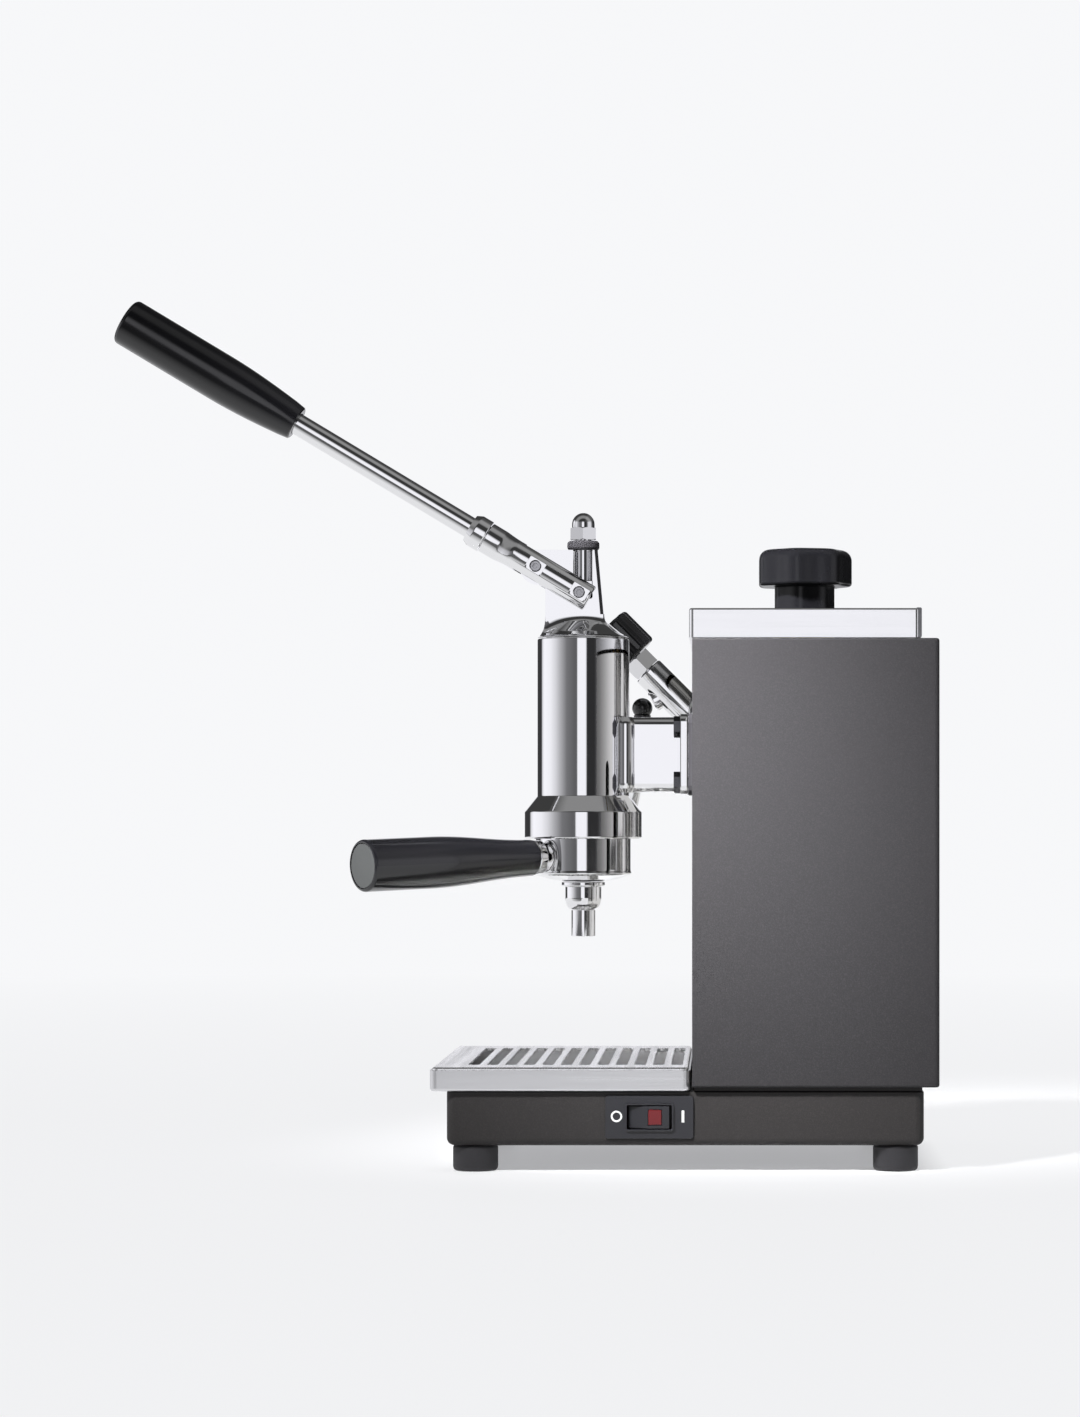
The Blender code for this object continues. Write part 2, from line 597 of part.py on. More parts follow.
def base_pan(machine, finishes):
    """A folded pan, open below inside a return flange, with windows for the switch and the inlet."""
    half = BASE_WIDTH / 2
    shape = prism(rounded((-half, BASE_FRONT), (half, BASE_REAR), BASE_CORNER), FOOT_HEIGHT, BASE_TOP)
    soften(shape, edges_at(shape, FOOT_HEIGHT), BASE_LOWER_EDGE)
    pan = piece("base_pan", shape, finishes["base_coat"], machine)
    inner = half - BASE_SHEET
    low, high = (-inner, BASE_FRONT + BASE_SHEET), (inner, BASE_REAR - BASE_SHEET)
    floor = FOOT_HEIGHT + BASE_SHEET
    room = prism(rounded(low, high, BASE_CORNER - BASE_SHEET), floor, BASE_TOP - BASE_SHEET)
    soften(room, edges_at(room, floor), BASE_LOWER_EDGE - BASE_SHEET)
    cut(pan, room)
    lip = half - BASE_LIP
    cut(pan, block((-lip, BASE_FRONT + BASE_LIP, FOOT_HEIGHT - OVERRUN),
                   (lip, BASE_REAR - BASE_LIP, FOOT_HEIGHT + BASE_SHEET + OVERRUN)))
    length = ROCKER_LENGTH / 2 + SWITCH_BEZEL_WALL + FIT
    height = ROCKER_HEIGHT / 2 + SWITCH_BEZEL_WALL + FIT
    cut(pan, block((half - BASE_SHEET - OVERRUN, SWITCH_REACH - length, SWITCH_Z - height),
                   (half + OVERRUN, SWITCH_REACH + length, SWITCH_Z + height)))
    width = INLET_WIDTH / 2 + INLET_WALL + FIT
    tall = INLET_HEIGHT / 2 + INLET_WALL + FIT
    cut(pan, block((INLET_X - width, BASE_REAR - BASE_SHEET - OVERRUN, SWITCH_Z - tall),
                   (INLET_X + width, BASE_REAR + OVERRUN, SWITCH_Z + tall)))


def bottom_plate(machine, finishes):
    """The plate that closes the pan from below, flush in its return flange."""
    half = BASE_WIDTH / 2 - BASE_LIP - FIT
    low = (-half, BASE_FRONT + BASE_LIP + FIT, FOOT_HEIGHT)
    high = (half, BASE_REAR - BASE_LIP - FIT, FOOT_HEIGHT + BASE_SHEET)
    piece("bottom_plate", block(low, high), finishes["steel"], machine)


def feet(machine, finishes):
    top = FOOT_HEIGHT - FIT
    profile = [(0.0, 0.0), (FOOT_RADIUS - FOOT_CHAMFER, 0.0), (FOOT_RADIUS, FOOT_CHAMFER),
               (FOOT_RADIUS, top), (0.0, top)]
    x = BASE_WIDTH / 2 - FOOT_INSET
    rows = {"front": BASE_FRONT + FOOT_INSET, "rear": BASE_REAR - FOOT_INSET}
    for row, y in rows.items():
        for side, sign in (("left", -1), ("right", 1)):
            piece(f"foot_{row}_{side}", turned(profile), finishes["rubber"], machine, (sign * x, y, 0.0))


def chassis_plate(machine, finishes):
    """The plate on the base that the housing stands on."""
    half = BASE_WIDTH / 2 - CHASSIS_INSET
    low = (-half, HOUSING_REACH + CHASSIS_INSET, BASE_TOP + FIT)
    high = (half, BASE_REAR - CHASSIS_INSET, CHASSIS_TOP)
    piece("chassis_plate", block(low, high), finishes["base_coat"], machine)


def housing_wrap(machine, finishes):
    """Both sides and the back in one folded sheet, turned in along the top and the bottom."""
    half = HOUSING_WIDTH / 2
    front = HOUSING_REACH
    outline = ([(-half, front), (half, front)]
               + arc((half - HOUSING_CORNER, HOUSING_REAR - HOUSING_CORNER), HOUSING_CORNER, 0, pi / 2,
                     BEND_STEPS)
               + arc((HOUSING_CORNER - half, HOUSING_REAR - HOUSING_CORNER), HOUSING_CORNER, pi / 2, pi,
                     BEND_STEPS))
    wrap = piece("housing_wrap", prism(outline, HOUSING_BOTTOM, HOUSING_TOP), finishes["coat"], machine)
    inner = half - SHEET
    cut(wrap, block((-inner, front - OVERRUN, HOUSING_BOTTOM + SHEET),
                    (inner, HOUSING_REAR - SHEET, HOUSING_TOP - SHEET)))
    lip = half - FLANGE
    cut(wrap, block((-lip, front - OVERRUN, HOUSING_BOTTOM - OVERRUN),
                    (lip, HOUSING_REAR - LID_REAR_INSET - FLANGE, HOUSING_TOP + OVERRUN)))


def front_panel(machine, finishes):
    """The sheet between the housing's sides, with windows for flange, sight glass and steam valve."""
    half = HOUSING_WIDTH / 2 - SHEET - FIT
    low = HOUSING_BOTTOM + SHEET + FIT
    high = HOUSING_TOP - SHEET - FIT
    shape = block((-half, HOUSING_REACH, low), (half, HOUSING_REACH + SHEET, high))
    panel = piece("front_panel", shape, finishes["satin"], machine)
    near, far = HOUSING_REACH - OVERRUN, HOUSING_REACH + SHEET + OVERRUN
    seat = BOILER_SEAT_WIDTH / 2 + FIT
    cut(panel, block((-seat, near, NECK_MIDDLE - FLANGE_HEIGHT / 2 - FIT),
                     (seat, far, NECK_MIDDLE + FLANGE_HEIGHT / 2 + FIT)))
    window = SIGHT_WINDOW_WIDTH / 2
    outline = rounded((SIGHT_X - window, SIGHT_LOW + SIGHT_BLOCK_HEIGHT),
                      (SIGHT_X + window, SIGHT_HIGH - SIGHT_BLOCK_HEIGHT), window - FIT)
    cut(panel, prism(outline, near, far, "Y"))
    cut(panel, disc(VALVE_INLET_RADIUS + FIT, near, far, SMALL_SIDES),
        (-STEAM_X, 0.0, STEAM_HEIGHT), (-pi / 2, 0.0, 0.0))


def top_lid(machine, finishes):
    """An inverted pan over the housing, with a hem down its rear edge and a hole round the filler."""
    half = HOUSING_WIDTH / 2 - LID_SIDE_INSET
    front = HOUSING_REACH - LID_OVERHANG
    rear = HOUSING_REAR - LID_REAR_INSET
    bottom = HOUSING_TOP + FIT
    shape = prism(rounded((-half, front), (half, rear), LID_CORNER), bottom, LID_TOP)
    soften(shape, edges_at(shape, LID_TOP), LID_HEM_STEP)
    lid = piece("top_lid", shape, finishes["satin"], machine)
    join(lid, block((-half + LID_CORNER, rear - LID_HEM, bottom),
                    (half - LID_CORNER, rear + LID_HEM_STEP, LID_TOP - LID_HEM_STEP)))
    cut(lid, block((-half + SHEET, front + SHEET, bottom - OVERRUN),
                   (half - SHEET, rear - SHEET, LID_TOP - SHEET)))
    cut(lid, disc(FILLER_RADIUS + SHEET, FILLER_TOP - LID_HEIGHT, LID_TOP + OVERRUN),
        (0.0, BOILER_REACH, 0.0))


# Drip tray and grate

def drip_tray(tray_slide, finishes):
    """A shallow pan with a ledge round the inside of its rim, on which the grate lies."""
    half = TRAY_WIDTH / 2
    outline = rounded((-half, TRAY_FRONT), (half, TRAY_REAR), TRAY_CORNER)
    tray = piece("drip_tray", prism(outline, TRAY_BOTTOM, TRAY_TOP), finishes["satin"], tray_slide)
    ledge_top = TRAY_TOP + GRATE_PROUD - GRATE_SKIRT - FIT
    wall, inner = TRAY_SHEET, TRAY_SHEET + TRAY_LEDGE
    radius = TRAY_CORNER - TRAY_SHEET
    pocket = rounded((wall - half, TRAY_FRONT + wall), (half - wall, TRAY_REAR - wall), radius)
    cut(tray, prism(pocket, ledge_top, TRAY_TOP + OVERRUN))
    cut(tray, prism(pocket, TRAY_BOTTOM + TRAY_SHEET, ledge_top - TRAY_SHEET))
    cut(tray, block((inner - half, TRAY_FRONT + inner, TRAY_BOTTOM + 2 * TRAY_SHEET),
                    (half - inner, TRAY_REAR - inner, TRAY_TOP + OVERRUN)))


def drip_grate(grate_lift, finishes):
    """The slotted plate, turned down at its edges; its slots run across, in a row from front to rear."""
    half = TRAY_WIDTH / 2 - TRAY_SHEET - FIT
    front = TRAY_FRONT + TRAY_SHEET + FIT
    rear = TRAY_REAR - TRAY_SHEET - FIT
    top = TRAY_TOP + GRATE_PROUD
    outline = rounded((-half, front), (half, rear), TRAY_CORNER - TRAY_SHEET)
    grate = piece("drip_grate", prism(outline, top - GRATE_SKIRT, top), finishes["satin"], grate_lift)
    cut(grate, block((GRATE_SHEET - half, front + GRATE_SHEET, top - GRATE_SKIRT - OVERRUN),
                     (half - GRATE_SHEET, rear - GRATE_SHEET, top - GRATE_SHEET)))
    across = GRATE_SLOT_LENGTH / 2
    end = GRATE_SLOT_WIDTH / 2
    for number in range(GRATE_SLOTS):
        y = rear - GRATE_REAR_BAR - end - number * GRATE_SLOT_PITCH
        slot = rounded((-across, y - end), (across, y + end), end - FIT, SLOT_STEPS)
        cut(grate, prism(slot, top - GRATE_SHEET - OVERRUN, top + OVERRUN))


# Group

def sector(radius, middle, width, low, high, steps):
    """A wedge of a disc about Z, its middle at an angle from +X."""
    outline = [(0.0, 0.0)] + arc((0.0, 0.0), radius, middle - width / 2, middle + width / 2, steps)
    return prism(outline, low, high)


def lug_angles():
    """The lugs stand square to the handle when the portafilter is locked."""
    first = HANDLE_ANGLE
    return first, first + pi


def group_body(machine, finishes):
    """Bell, spring cylinder, neck and flange in one casting, bored for the piston and the bayonet."""
    flare = GROUP_HEIGHT + BELL_STRAIGHT
    shoulder = flare + BELL_FLARE
    profile = [(0.0, GROUP_HEIGHT), (BELL_RADIUS, GROUP_HEIGHT), (BELL_RADIUS, flare),
               (CYLINDER_RADIUS + RUN, shoulder), (CYLINDER_RADIUS, shoulder + RUN),
               (CYLINDER_RADIUS, CYLINDER_TOP), (0.0, CYLINDER_TOP)]
    body = piece("group_body", turned(profile, BIG_SIDES), finishes["chrome"], machine)
    saddle = rounded((-SADDLE_WIDTH / 2, NECK_BOTTOM), (SADDLE_WIDTH / 2, NECK_BOTTOM + NECK_HEIGHT),
                     NECK_ROUND)
    join(body, prism(saddle, CYLINDER_BORE / 2, SADDLE_REACH, "Y"))
    neck = rounded((-NECK_WIDTH / 2, NECK_BOTTOM), (NECK_WIDTH / 2, NECK_BOTTOM + NECK_HEIGHT), NECK_ROUND)
    join(body, prism(neck, SADDLE_REACH - OVERRUN, FLANGE_REAR - FLANGE_THICKNESS / 2, "Y"))
    join(body, prism(flange_outline(), FLANGE_REAR - FLANGE_THICKNESS, FLANGE_REAR, "Y"))
    ledge = GROUP_HEIGHT + BAYONET_LEDGE
    opening = HOLDER_RADIUS + 2 * RUN
    bore = [(0.0, GROUP_HEIGHT - OVERRUN), (opening, GROUP_HEIGHT - OVERRUN), (opening, ledge),
            (BELL_BORE, ledge), (BELL_BORE, CEILING), (CYLINDER_BORE, CEILING),
            (CYLINDER_BORE, CYLINDER_TOP + OVERRUN), (0.0, CYLINDER_TOP + OVERRUN)]
    cut(body, turned(bore, BIG_SIDES))
    for angle in lug_angles():
        cut(body, sector(BELL_BORE, angle - PORTAFILTER_TURN, NOTCH_ARC, GROUP_HEIGHT - OVERRUN,
                         ledge + RUN, BEND_STEPS))
    for x, z in bolt_places():
        cut(body, disc(BOLT_RADIUS + FIT, FLANGE_REAR - FLANGE_THICKNESS - FIT, FLANGE_REAR + OVERRUN,
                       SMALL_SIDES), (x, 0.0, z), (-pi / 2, 0.0, 0.0))


def flange_outline():
    half = FLANGE_HEIGHT / 2
    return rounded((-FLANGE_WIDTH / 2, NECK_MIDDLE - half), (FLANGE_WIDTH / 2, NECK_MIDDLE + half),
                   FLANGE_ROUND)


def bolt_places():
    return [(sx * BOLT_SPREAD / 2, NECK_MIDDLE + sz * BOLT_RISE / 2) for sz in (1, -1) for sx in (-1, 1)]


def group_gasket(machine, finishes):
    shape = prism(flange_outline(), FLANGE_REAR + FIT, FLANGE_REAR + FIT + GROUP_GASKET, "Y")
    gasket = piece("group_gasket", shape, finishes["seal"], machine)
    for x, z in bolt_places():
        cut(gasket, disc(BOLT_RADIUS + FIT, FLANGE_REAR - OVERRUN, HOUSING_REACH + OVERRUN, SMALL_SIDES),
            (x, 0.0, z), (-pi / 2, 0.0, 0.0))


def flange_bolts(machine, finishes):
    """Hexagon bolts that hold the group's flange to the boiler's seat."""
    under = FLANGE_REAR - FLANGE_THICKNESS - FIT
    for number, (x, z) in enumerate(bolt_places(), start=1):
        head = hexagon(BOLT_HEAD, under - BOLT_HEAD_HEIGHT, under)
        bolt = piece(f"flange_bolt_{number}", head, finishes["steel"], machine, (x, 0.0, z),
                     (-pi / 2, 0.0, 0.0))
        join(bolt, disc(BOLT_RADIUS, under - BOLT_HEAD_HEIGHT / 2, under + BOLT_LENGTH, SMALL_SIDES),
             (x, 0.0, z), (-pi / 2, 0.0, 0.0))


def shower_screen(machine, finishes):
    """The domed screen under the cylinder's bore."""
    edge = BELL_BORE - (BELL_BORE - CYLINDER_BORE) * 0.8
    top = CEILING - FIT
    profile = [(0.0, SCREEN_BOTTOM - SCREEN_DOME), (edge / 2, SCREEN_BOTTOM - SCREEN_DOME / 2),
               (edge, SCREEN_BOTTOM), (edge, top), (0.0, top)]
    piece("shower_screen", turned(profile), finishes["steel"], machine)


def bell_gasket(machine, finishes):
    """The ring in the bell's ceiling that the basket's rim is pressed against."""
    inner = BELL_BORE - (BELL_BORE - CYLINDER_BORE) * 0.8 + FIT
    top = CEILING - FIT
    bottom = top - BELL_GASKET_HEIGHT
    outer = BELL_BORE - FIT
    profile = [(inner, bottom), (outer, bottom), (outer, top), (inner, top)]
    piece("bell_gasket", turned(profile), finishes["seal"], machine)


# Piston and what rides on its rod

def piston_parts(piston_slide, finishes):
    radius = CYLINDER_BORE - RUN
    middle = PISTON_BOTTOM + PISTON_HEIGHT * SEAL_SHARE
    low, high = middle - SEAL_HEIGHT / 2, middle + SEAL_HEIGHT / 2
    groove = radius - SEAL_DEPTH
    profile = [(0.0, PISTON_BOTTOM), (radius, PISTON_BOTTOM), (radius, low - FIT), (groove, low - FIT),
               (groove, high + FIT), (radius, high + FIT), (radius, PISTON_TOP), (ROD_RADIUS + FIT, PISTON_TOP),
               (ROD_RADIUS + FIT, PISTON_TOP - ROD_SOCKET), (0.0, PISTON_TOP - ROD_SOCKET)]
    piece("piston", turned(profile), finishes["brass"], piston_slide)
    ring = [(groove + FIT, low), (CYLINDER_BORE - FIT, low), (CYLINDER_BORE - FIT, high),
            (groove + FIT, high)]
    piece("piston_seal", turned(ring), finishes["seal"], piston_slide)


def piston_rod(piston_slide, finishes):
    """The rod, with a slotted crosshead that lets the lever's pin move sideways, and a stud on top."""
    bottom = PISTON_TOP - ROD_SOCKET + FIT
    shoulder = TOWER_TOP + FIT + BUMPER_HEIGHT + FIT
    profile = [(0.0, bottom), (ROD_RADIUS, bottom), (ROD_RADIUS, shoulder - FIT),
               (STUD_RADIUS, shoulder - FIT), (STUD_RADIUS, shoulder + STUD_HEIGHT),
               (0.0, shoulder + STUD_HEIGHT)]
    rod = piece("piston_rod", turned(profile, SMALL_SIDES), finishes["chrome"], piston_slide)
    half = CROSSHEAD_WIDTH / 2
    low = CROSSHEAD_PIN_Z - CROSSHEAD_HEIGHT / 2
    high = CROSSHEAD_PIN_Z + CROSSHEAD_HEIGHT / 2
    join(rod, block((-half, -WINDOW_HALF - CROSSHEAD_WALL, low), (half, WINDOW_HALF, high)))
    slot = PIN_RADIUS + RUN
    cut(rod, block((-half - OVERRUN, -WINDOW_HALF, CROSSHEAD_PIN_Z - slot),
                   (half + OVERRUN, WINDOW_HALF + OVERRUN, CROSSHEAD_PIN_Z + slot)))


def bumper_ring(piston_slide, finishes):
    """The rubber ring that meets the tower's top when the piston is down."""
    low, high = TOWER_TOP + FIT, TOWER_TOP + FIT + BUMPER_HEIGHT
    inner = ROD_RADIUS + FIT
    profile = [(inner, low), (BUMPER_RADIUS - BUMPER_ROUND, low), (BUMPER_RADIUS, low + BUMPER_ROUND),
               (BUMPER_RADIUS, high - BUMPER_ROUND), (BUMPER_RADIUS - BUMPER_ROUND, high), (inner, high)]
    piece("bumper_ring", turned(profile), finishes["rubber"], piston_slide)


def acorn_nut(piston_slide, finishes):
    """A domed cap nut on the rod's stud."""
    low = TOWER_TOP + BUMPER_HEIGHT + 3 * FIT
    hex_top = low + NUT_HEX_HEIGHT
    nut = piece("acorn_nut", hexagon(NUT_FLATS, low, hex_top), finishes["chrome"], piston_slide)
    rise = NUT_DOME_HEIGHT - NUT_DOME_RADIUS / 2
    dome = [(0.0, low + NUT_HEX_HEIGHT / 2), (NUT_DOME_RADIUS, low + NUT_HEX_HEIGHT / 2),
            (NUT_DOME_RADIUS, hex_top + rise / 2)]
    dome += [(NUT_DOME_RADIUS * cos(a), hex_top + rise / 2 + (NUT_DOME_HEIGHT - rise / 2) * sin(a))
             for a in (pi / 8, pi / 4, 3 * pi / 8)]
    dome += [(0.0, hex_top + NUT_DOME_HEIGHT)]
    join(nut, turned(dome, SMALL_SIDES))
    cut(nut, disc(STUD_RADIUS + FIT, low - OVERRUN, low + STUD_HEIGHT, SMALL_SIDES))


def piston_spring(machine, finishes):
    """One unbroken coil between the piston's top and the bracket's spigot."""
    low = PISTON_TOP + FIT + SPRING_WIRE / 2
    high = BRACKET_BOTTOM - SPIGOT_HEIGHT - FIT - SPRING_WIRE / 2
    steps = SPRING_TURNS * SPRING_TURN_STEPS
    path = []
    for k in range(steps + 1):
        angle = tau * k / SPRING_TURN_STEPS
        path.append((SPRING_RADIUS * cos(angle), SPRING_RADIUS * sin(angle), low + (high - low) * k / steps))
    gap = (high - low) / SPRING_TURNS - SPRING_WIRE
    print(f"piston spring: {gap / MM:.2f} mm between turns")
    piece("piston_spring", tube(path, SPRING_WIRE / 2, SPRING_SIDES), finishes["steel"], machine)


# Lever bracket and lever

def lever_bracket(machine, finishes):
    """The cone on the cylinder and the flat-sided tower with the fulcrum's lobe and the rod's window."""
    top = BRACKET_BOTTOM + CONE_HEIGHT
    shoulder = BRACKET_BOTTOM + CONE_HEIGHT * CONE_SHOULDER_SHARE
    spigot = CYLINDER_BORE - FIT
    profile = [(0.0, BRACKET_BOTTOM - SPIGOT_HEIGHT), (spigot, BRACKET_BOTTOM - SPIGOT_HEIGHT),
               (spigot, BRACKET_BOTTOM), (CYLINDER_RADIUS, BRACKET_BOTTOM),
               (CONE_SHOULDER_RADIUS, shoulder), (CONE_TOP_RADIUS, top), (0.0, top)]
    bracket = piece("lever_bracket", turned(profile, BIG_SIDES), finishes["chrome"], machine)
    join(bracket, tower_flare(shoulder))
    half = TOWER_THICKNESS / 2
    lobe_low = pi + pi / 2 - LEVER_ANGLE
    outline = ([(TOWER_REAR_LOW, top), (TOWER_REAR_HIGH, TOWER_TOP)]
               + arc((-FULCRUM_REACH, FULCRUM_HEIGHT), LOBE_RADIUS, pi / 2, lobe_low + LEVER_ANGLE / 2, 10)
               + [(-TOWER_FRONT, FULCRUM_HEIGHT - LOBE_RADIUS - RUN), (-TOWER_FRONT, top)])
    join(bracket, prism(outline, -half, half, "X"))
    for sign in (-1, 1):
        join(bracket, tower_gusset(sign))
    cavity = CROSSHEAD_WIDTH / 2 + RUN
    floor = CROSSHEAD_PIN_Z - CROSSHEAD_HEIGHT / 2 - RUN
    cut(bracket, block((-cavity, -WINDOW_HALF - CROSSHEAD_WALL - RUN, floor),
                       (cavity, WINDOW_HALF + RUN, TOWER_TOP + OVERRUN)))
    cut(bracket, block((-half - OVERRUN, -WINDOW_HALF, CROSSHEAD_PIN_Z - PIN_RADIUS - RUN),
                       (half + OVERRUN, WINDOW_HALF, TOWER_TOP + OVERRUN)))
    cut(bracket, disc(ROD_RADIUS + RUN, BRACKET_BOTTOM - SPIGOT_HEIGHT - OVERRUN, floor + OVERRUN,
                      SMALL_SIDES))
    cut(bracket, disc(PIN_RADIUS + FIT, -half - OVERRUN, half + OVERRUN, SMALL_SIDES),
        (0.0, -FULCRUM_REACH, FULCRUM_HEIGHT), (0.0, pi / 2, 0.0))


def tower_flare(low):
    """The saddle that runs the cone up into the tower's flat sides in a hollow curve."""
    rings = []
    steps = 5
    for k in range(steps + 1):
        share = k / steps
        half = TOWER_THICKNESS / 2 + (TOWER_FLARE_HALF - TOWER_THICKNESS / 2) * (1 - share) ** 2
        z = low + (TOWER_BOTTOM - low) * share
        rear = TOWER_REAR_LOW + (CONE_TOP_RADIUS - TOWER_REAR_LOW) * (1 - share)
        corner = TOWER_THICKNESS / 2 * (1 - share) + RUN
        rings.append([(x, y, z) for x, y in rounded((-half, -TOWER_FRONT), (half, rear), corner)])
    return loft(rings)


def tower_gusset(sign):
    """The hollow-edged gusset between the tower's front and the saddle."""
    side = TOWER_THICKNESS / 2 - RUN
    front = -TOWER_FRONT
    steps = 4
    curve = [(front + GUSSET_DEPTH * (1 - sin(a)), TOWER_BOTTOM + GUSSET_HEIGHT * (1 - cos(a)))
             for a in (pi / 2 * k / steps for k in range(steps + 1))]
    shape = bmesh.new()
    outer = [shape.verts.new((sign * (side + GUSSET_WIDTH * (1 - k / steps)), front, z))
             for k, (_, z) in enumerate(curve)]
    inner = [shape.verts.new((sign * side, front, TOWER_BOTTOM - RUN + (z - TOWER_BOTTOM)))
             for _, z in curve]
    edge = [shape.verts.new((sign * side, y, z)) for y, z in curve]
    for k in range(steps):
        shape.faces.new((outer[k], outer[k + 1], edge[k + 1], edge[k]))
        shape.faces.new((outer[k], inner[k], inner[k + 1], outer[k + 1]))
        shape.faces.new((inner[k], edge[k], edge[k + 1], inner[k + 1]))
    shape.faces.new((outer[0], edge[0], inner[0]))
    shape.faces.new((outer[-1], inner[-1], edge[-1]))
    return tidy(shape)


def stadium(half_width, half_depth, count):
    """Points of a section with two round sides, its width along X."""
    flat = max(half_width - half_depth, 0.0)
    ring = []
    for k in range(count):
        angle = tau * (k + 0.5) / count
        shift = flat if cos(angle) > 0 else -flat
        ring.append((shift + min(half_width, half_depth) * cos(angle), half_depth * sin(angle)))
    return ring


def lever_fork(lever, finishes):
    """A round-sided bar that is slit for the tower and runs forward into a round socket."""
    stations = [(-PIN_DISTANCE - FORK_TAIL, FORK_WIDTH / 2, FORK_DEPTH / 2),
                (FORK_SHOULDER, FORK_WIDTH / 2, FORK_DEPTH / 2),
                (FORK_NOSE, SOCKET_RADIUS, SOCKET_RADIUS), (FORK_END, SOCKET_RADIUS, SOCKET_RADIUS)]
    rings = [[(x, -station, z) for x, z in stadium(wide, deep, SIDES)] for station, wide, deep in stations]
    fork = piece("lever_fork", loft(rings), finishes["chrome"], lever)
    gap = TOWER_THICKNESS / 2 + FORK_GAP_SIDE
    tail = PIN_DISTANCE + FORK_TAIL + OVERRUN
    cut(fork, block((-gap, -FORK_WEB, -FORK_DEPTH), (gap, tail, FORK_DEPTH)))
    flat = FORK_WIDTH / 2 - PIN_FLAT_DEPTH
    side = PIN_FLAT / 2
    for y in (0.0, PIN_DISTANCE):
        cut(fork, disc(PIN_RADIUS + FIT, -FORK_WIDTH, FORK_WIDTH, SMALL_SIDES), (0.0, y, 0.0),
            (0.0, pi / 2, 0.0))
        for sign in (-1, 1):
            near, far = sorted((sign * flat, sign * (flat + OVERRUN)))
            cut(fork, block((near, y - side, -side), (far, y + side, side)))
    cut(fork, disc(LEVER_ROD_RADIUS + FIT, FORK_END - LEVER_ROD_SEAT, FORK_END + OVERRUN, SMALL_SIDES),
        (0.0, 0.0, 0.0), (pi / 2, 0.0, 0.0))


def lever_parts(lever, finishes):
    """Collar, rod, grip and the two pins. Turned pieces point forward along the lever."""
    along = (pi / 2, 0.0, 0.0)
    start, end = FORK_END + FIT, FORK_END + COLLAR_LENGTH
    bore = LEVER_ROD_RADIUS + FIT
    collar = [(bore, start), (COLLAR_RADIUS - FIT, start), (COLLAR_RADIUS, start + FIT),
              (COLLAR_RADIUS, end - 2 * COLLAR_CHAMFER), (COLLAR_RADIUS - COLLAR_CHAMFER, end), (bore, end)]
    piece("lever_collar", turned(collar), finishes["chrome"], lever, turn=along)
    rod = disc(LEVER_ROD_RADIUS, FORK_END - LEVER_ROD_SEAT + FIT, GRIP_START + GRIP_SEAT - FIT)
    piece("lever_rod", rod, finishes["chrome"], lever, turn=along)
    middle = GRIP_START + (GRIP_END - GRIP_START) * 0.45
    grip = [(bore, GRIP_START), (GRIP_WAIST_RADIUS - GRIP_ROUND / 4, GRIP_START),
            (GRIP_WAIST_RADIUS, GRIP_START + GRIP_ROUND / 4)]
    steps = 4
    for k in range(1, steps + 1):
        share = k / steps
        radius = GRIP_WAIST_RADIUS + (GRIP_BUTT_RADIUS - GRIP_WAIST_RADIUS) * sin(share * pi / 2)
        grip.append((radius, GRIP_START + (middle - GRIP_START) * share))
    grip += [(radius, height) for height, radius in
             ((GRIP_END - GRIP_ROUND + GRIP_ROUND * sin(a),
               GRIP_BUTT_RADIUS - GRIP_ROUND + GRIP_ROUND * cos(a)) for a in (0, pi / 6, pi / 3, pi / 2))]
    grip += [(0.0, GRIP_END), (0.0, GRIP_START + GRIP_SEAT), (bore, GRIP_START + GRIP_SEAT)]
    piece("lever_handle", turned_with_socket(grip), finishes["black"], lever, turn=along)
    reach = FORK_WIDTH / 2 - PIN_FLAT_DEPTH - FIT
    for name, y in (("fulcrum_pin", 0.0), ("crosshead_pin", PIN_DISTANCE)):
        pin = disc(PIN_RADIUS, -reach, reach, SMALL_SIDES)
        piece(name, pin, finishes["steel"], lever, (0.0, y, 0.0), (0.0, pi / 2, 0.0))


def turned_with_socket(profile):
    """Turn a profile whose two axis points lie at its far end and at the bottom of its socket."""
    first = next(k for k, point in enumerate(profile) if point[0] == 0.0)
    ordered = profile[first + 1:] + profile[:first + 1]
    return turned(ordered)


# Portafilter

def portafilter_body(holder, finishes):
    """The cup that carries the basket, with two bayonet lugs and an outlet in its floor."""
    lip_top = HOLDER_BOTTOM + HOLDER_LIP_HEIGHT
    floor = HOLDER_BOTTOM - HOLDER_DOME + HOLDER_FLOOR
    outer = [(0.0, HOLDER_BOTTOM - HOLDER_DOME), (SPOUT_DISC_RADIUS + RUN, HOLDER_BOTTOM - HOLDER_DOME),
             (HOLDER_RADIUS * 0.7, HOLDER_BOTTOM - HOLDER_DOME * 0.75),
             (HOLDER_RADIUS, HOLDER_BOTTOM), (HOLDER_RADIUS + HOLDER_LIP / 2, HOLDER_BOTTOM + RUN),
             (HOLDER_RADIUS, lip_top), (HOLDER_RADIUS, HOLDER_TOP), (0.0, HOLDER_TOP)]
    body = piece("portafilter_body", turned(outer, BIG_SIDES), finishes["chrome"], holder)
    for angle in lug_angles():
        lug_low = GROUP_HEIGHT + BAYONET_LEDGE + FIT
        join(body, sector(BELL_BORE - RUN, angle - HANDLE_ANGLE, LUG_ARC, lug_low, lug_low + LUG_HEIGHT,
                          BEND_STEPS))
    hollow = [(0.0, floor), (HOLDER_BORE, floor), (HOLDER_BORE, HOLDER_TOP + OVERRUN),
              (0.0, HOLDER_TOP + OVERRUN)]
    cut(body, turned(hollow))
    cut(body, disc(OUTLET_RADIUS, HOLDER_BOTTOM - HOLDER_DOME - OVERRUN, floor + OVERRUN, SMALL_SIDES))


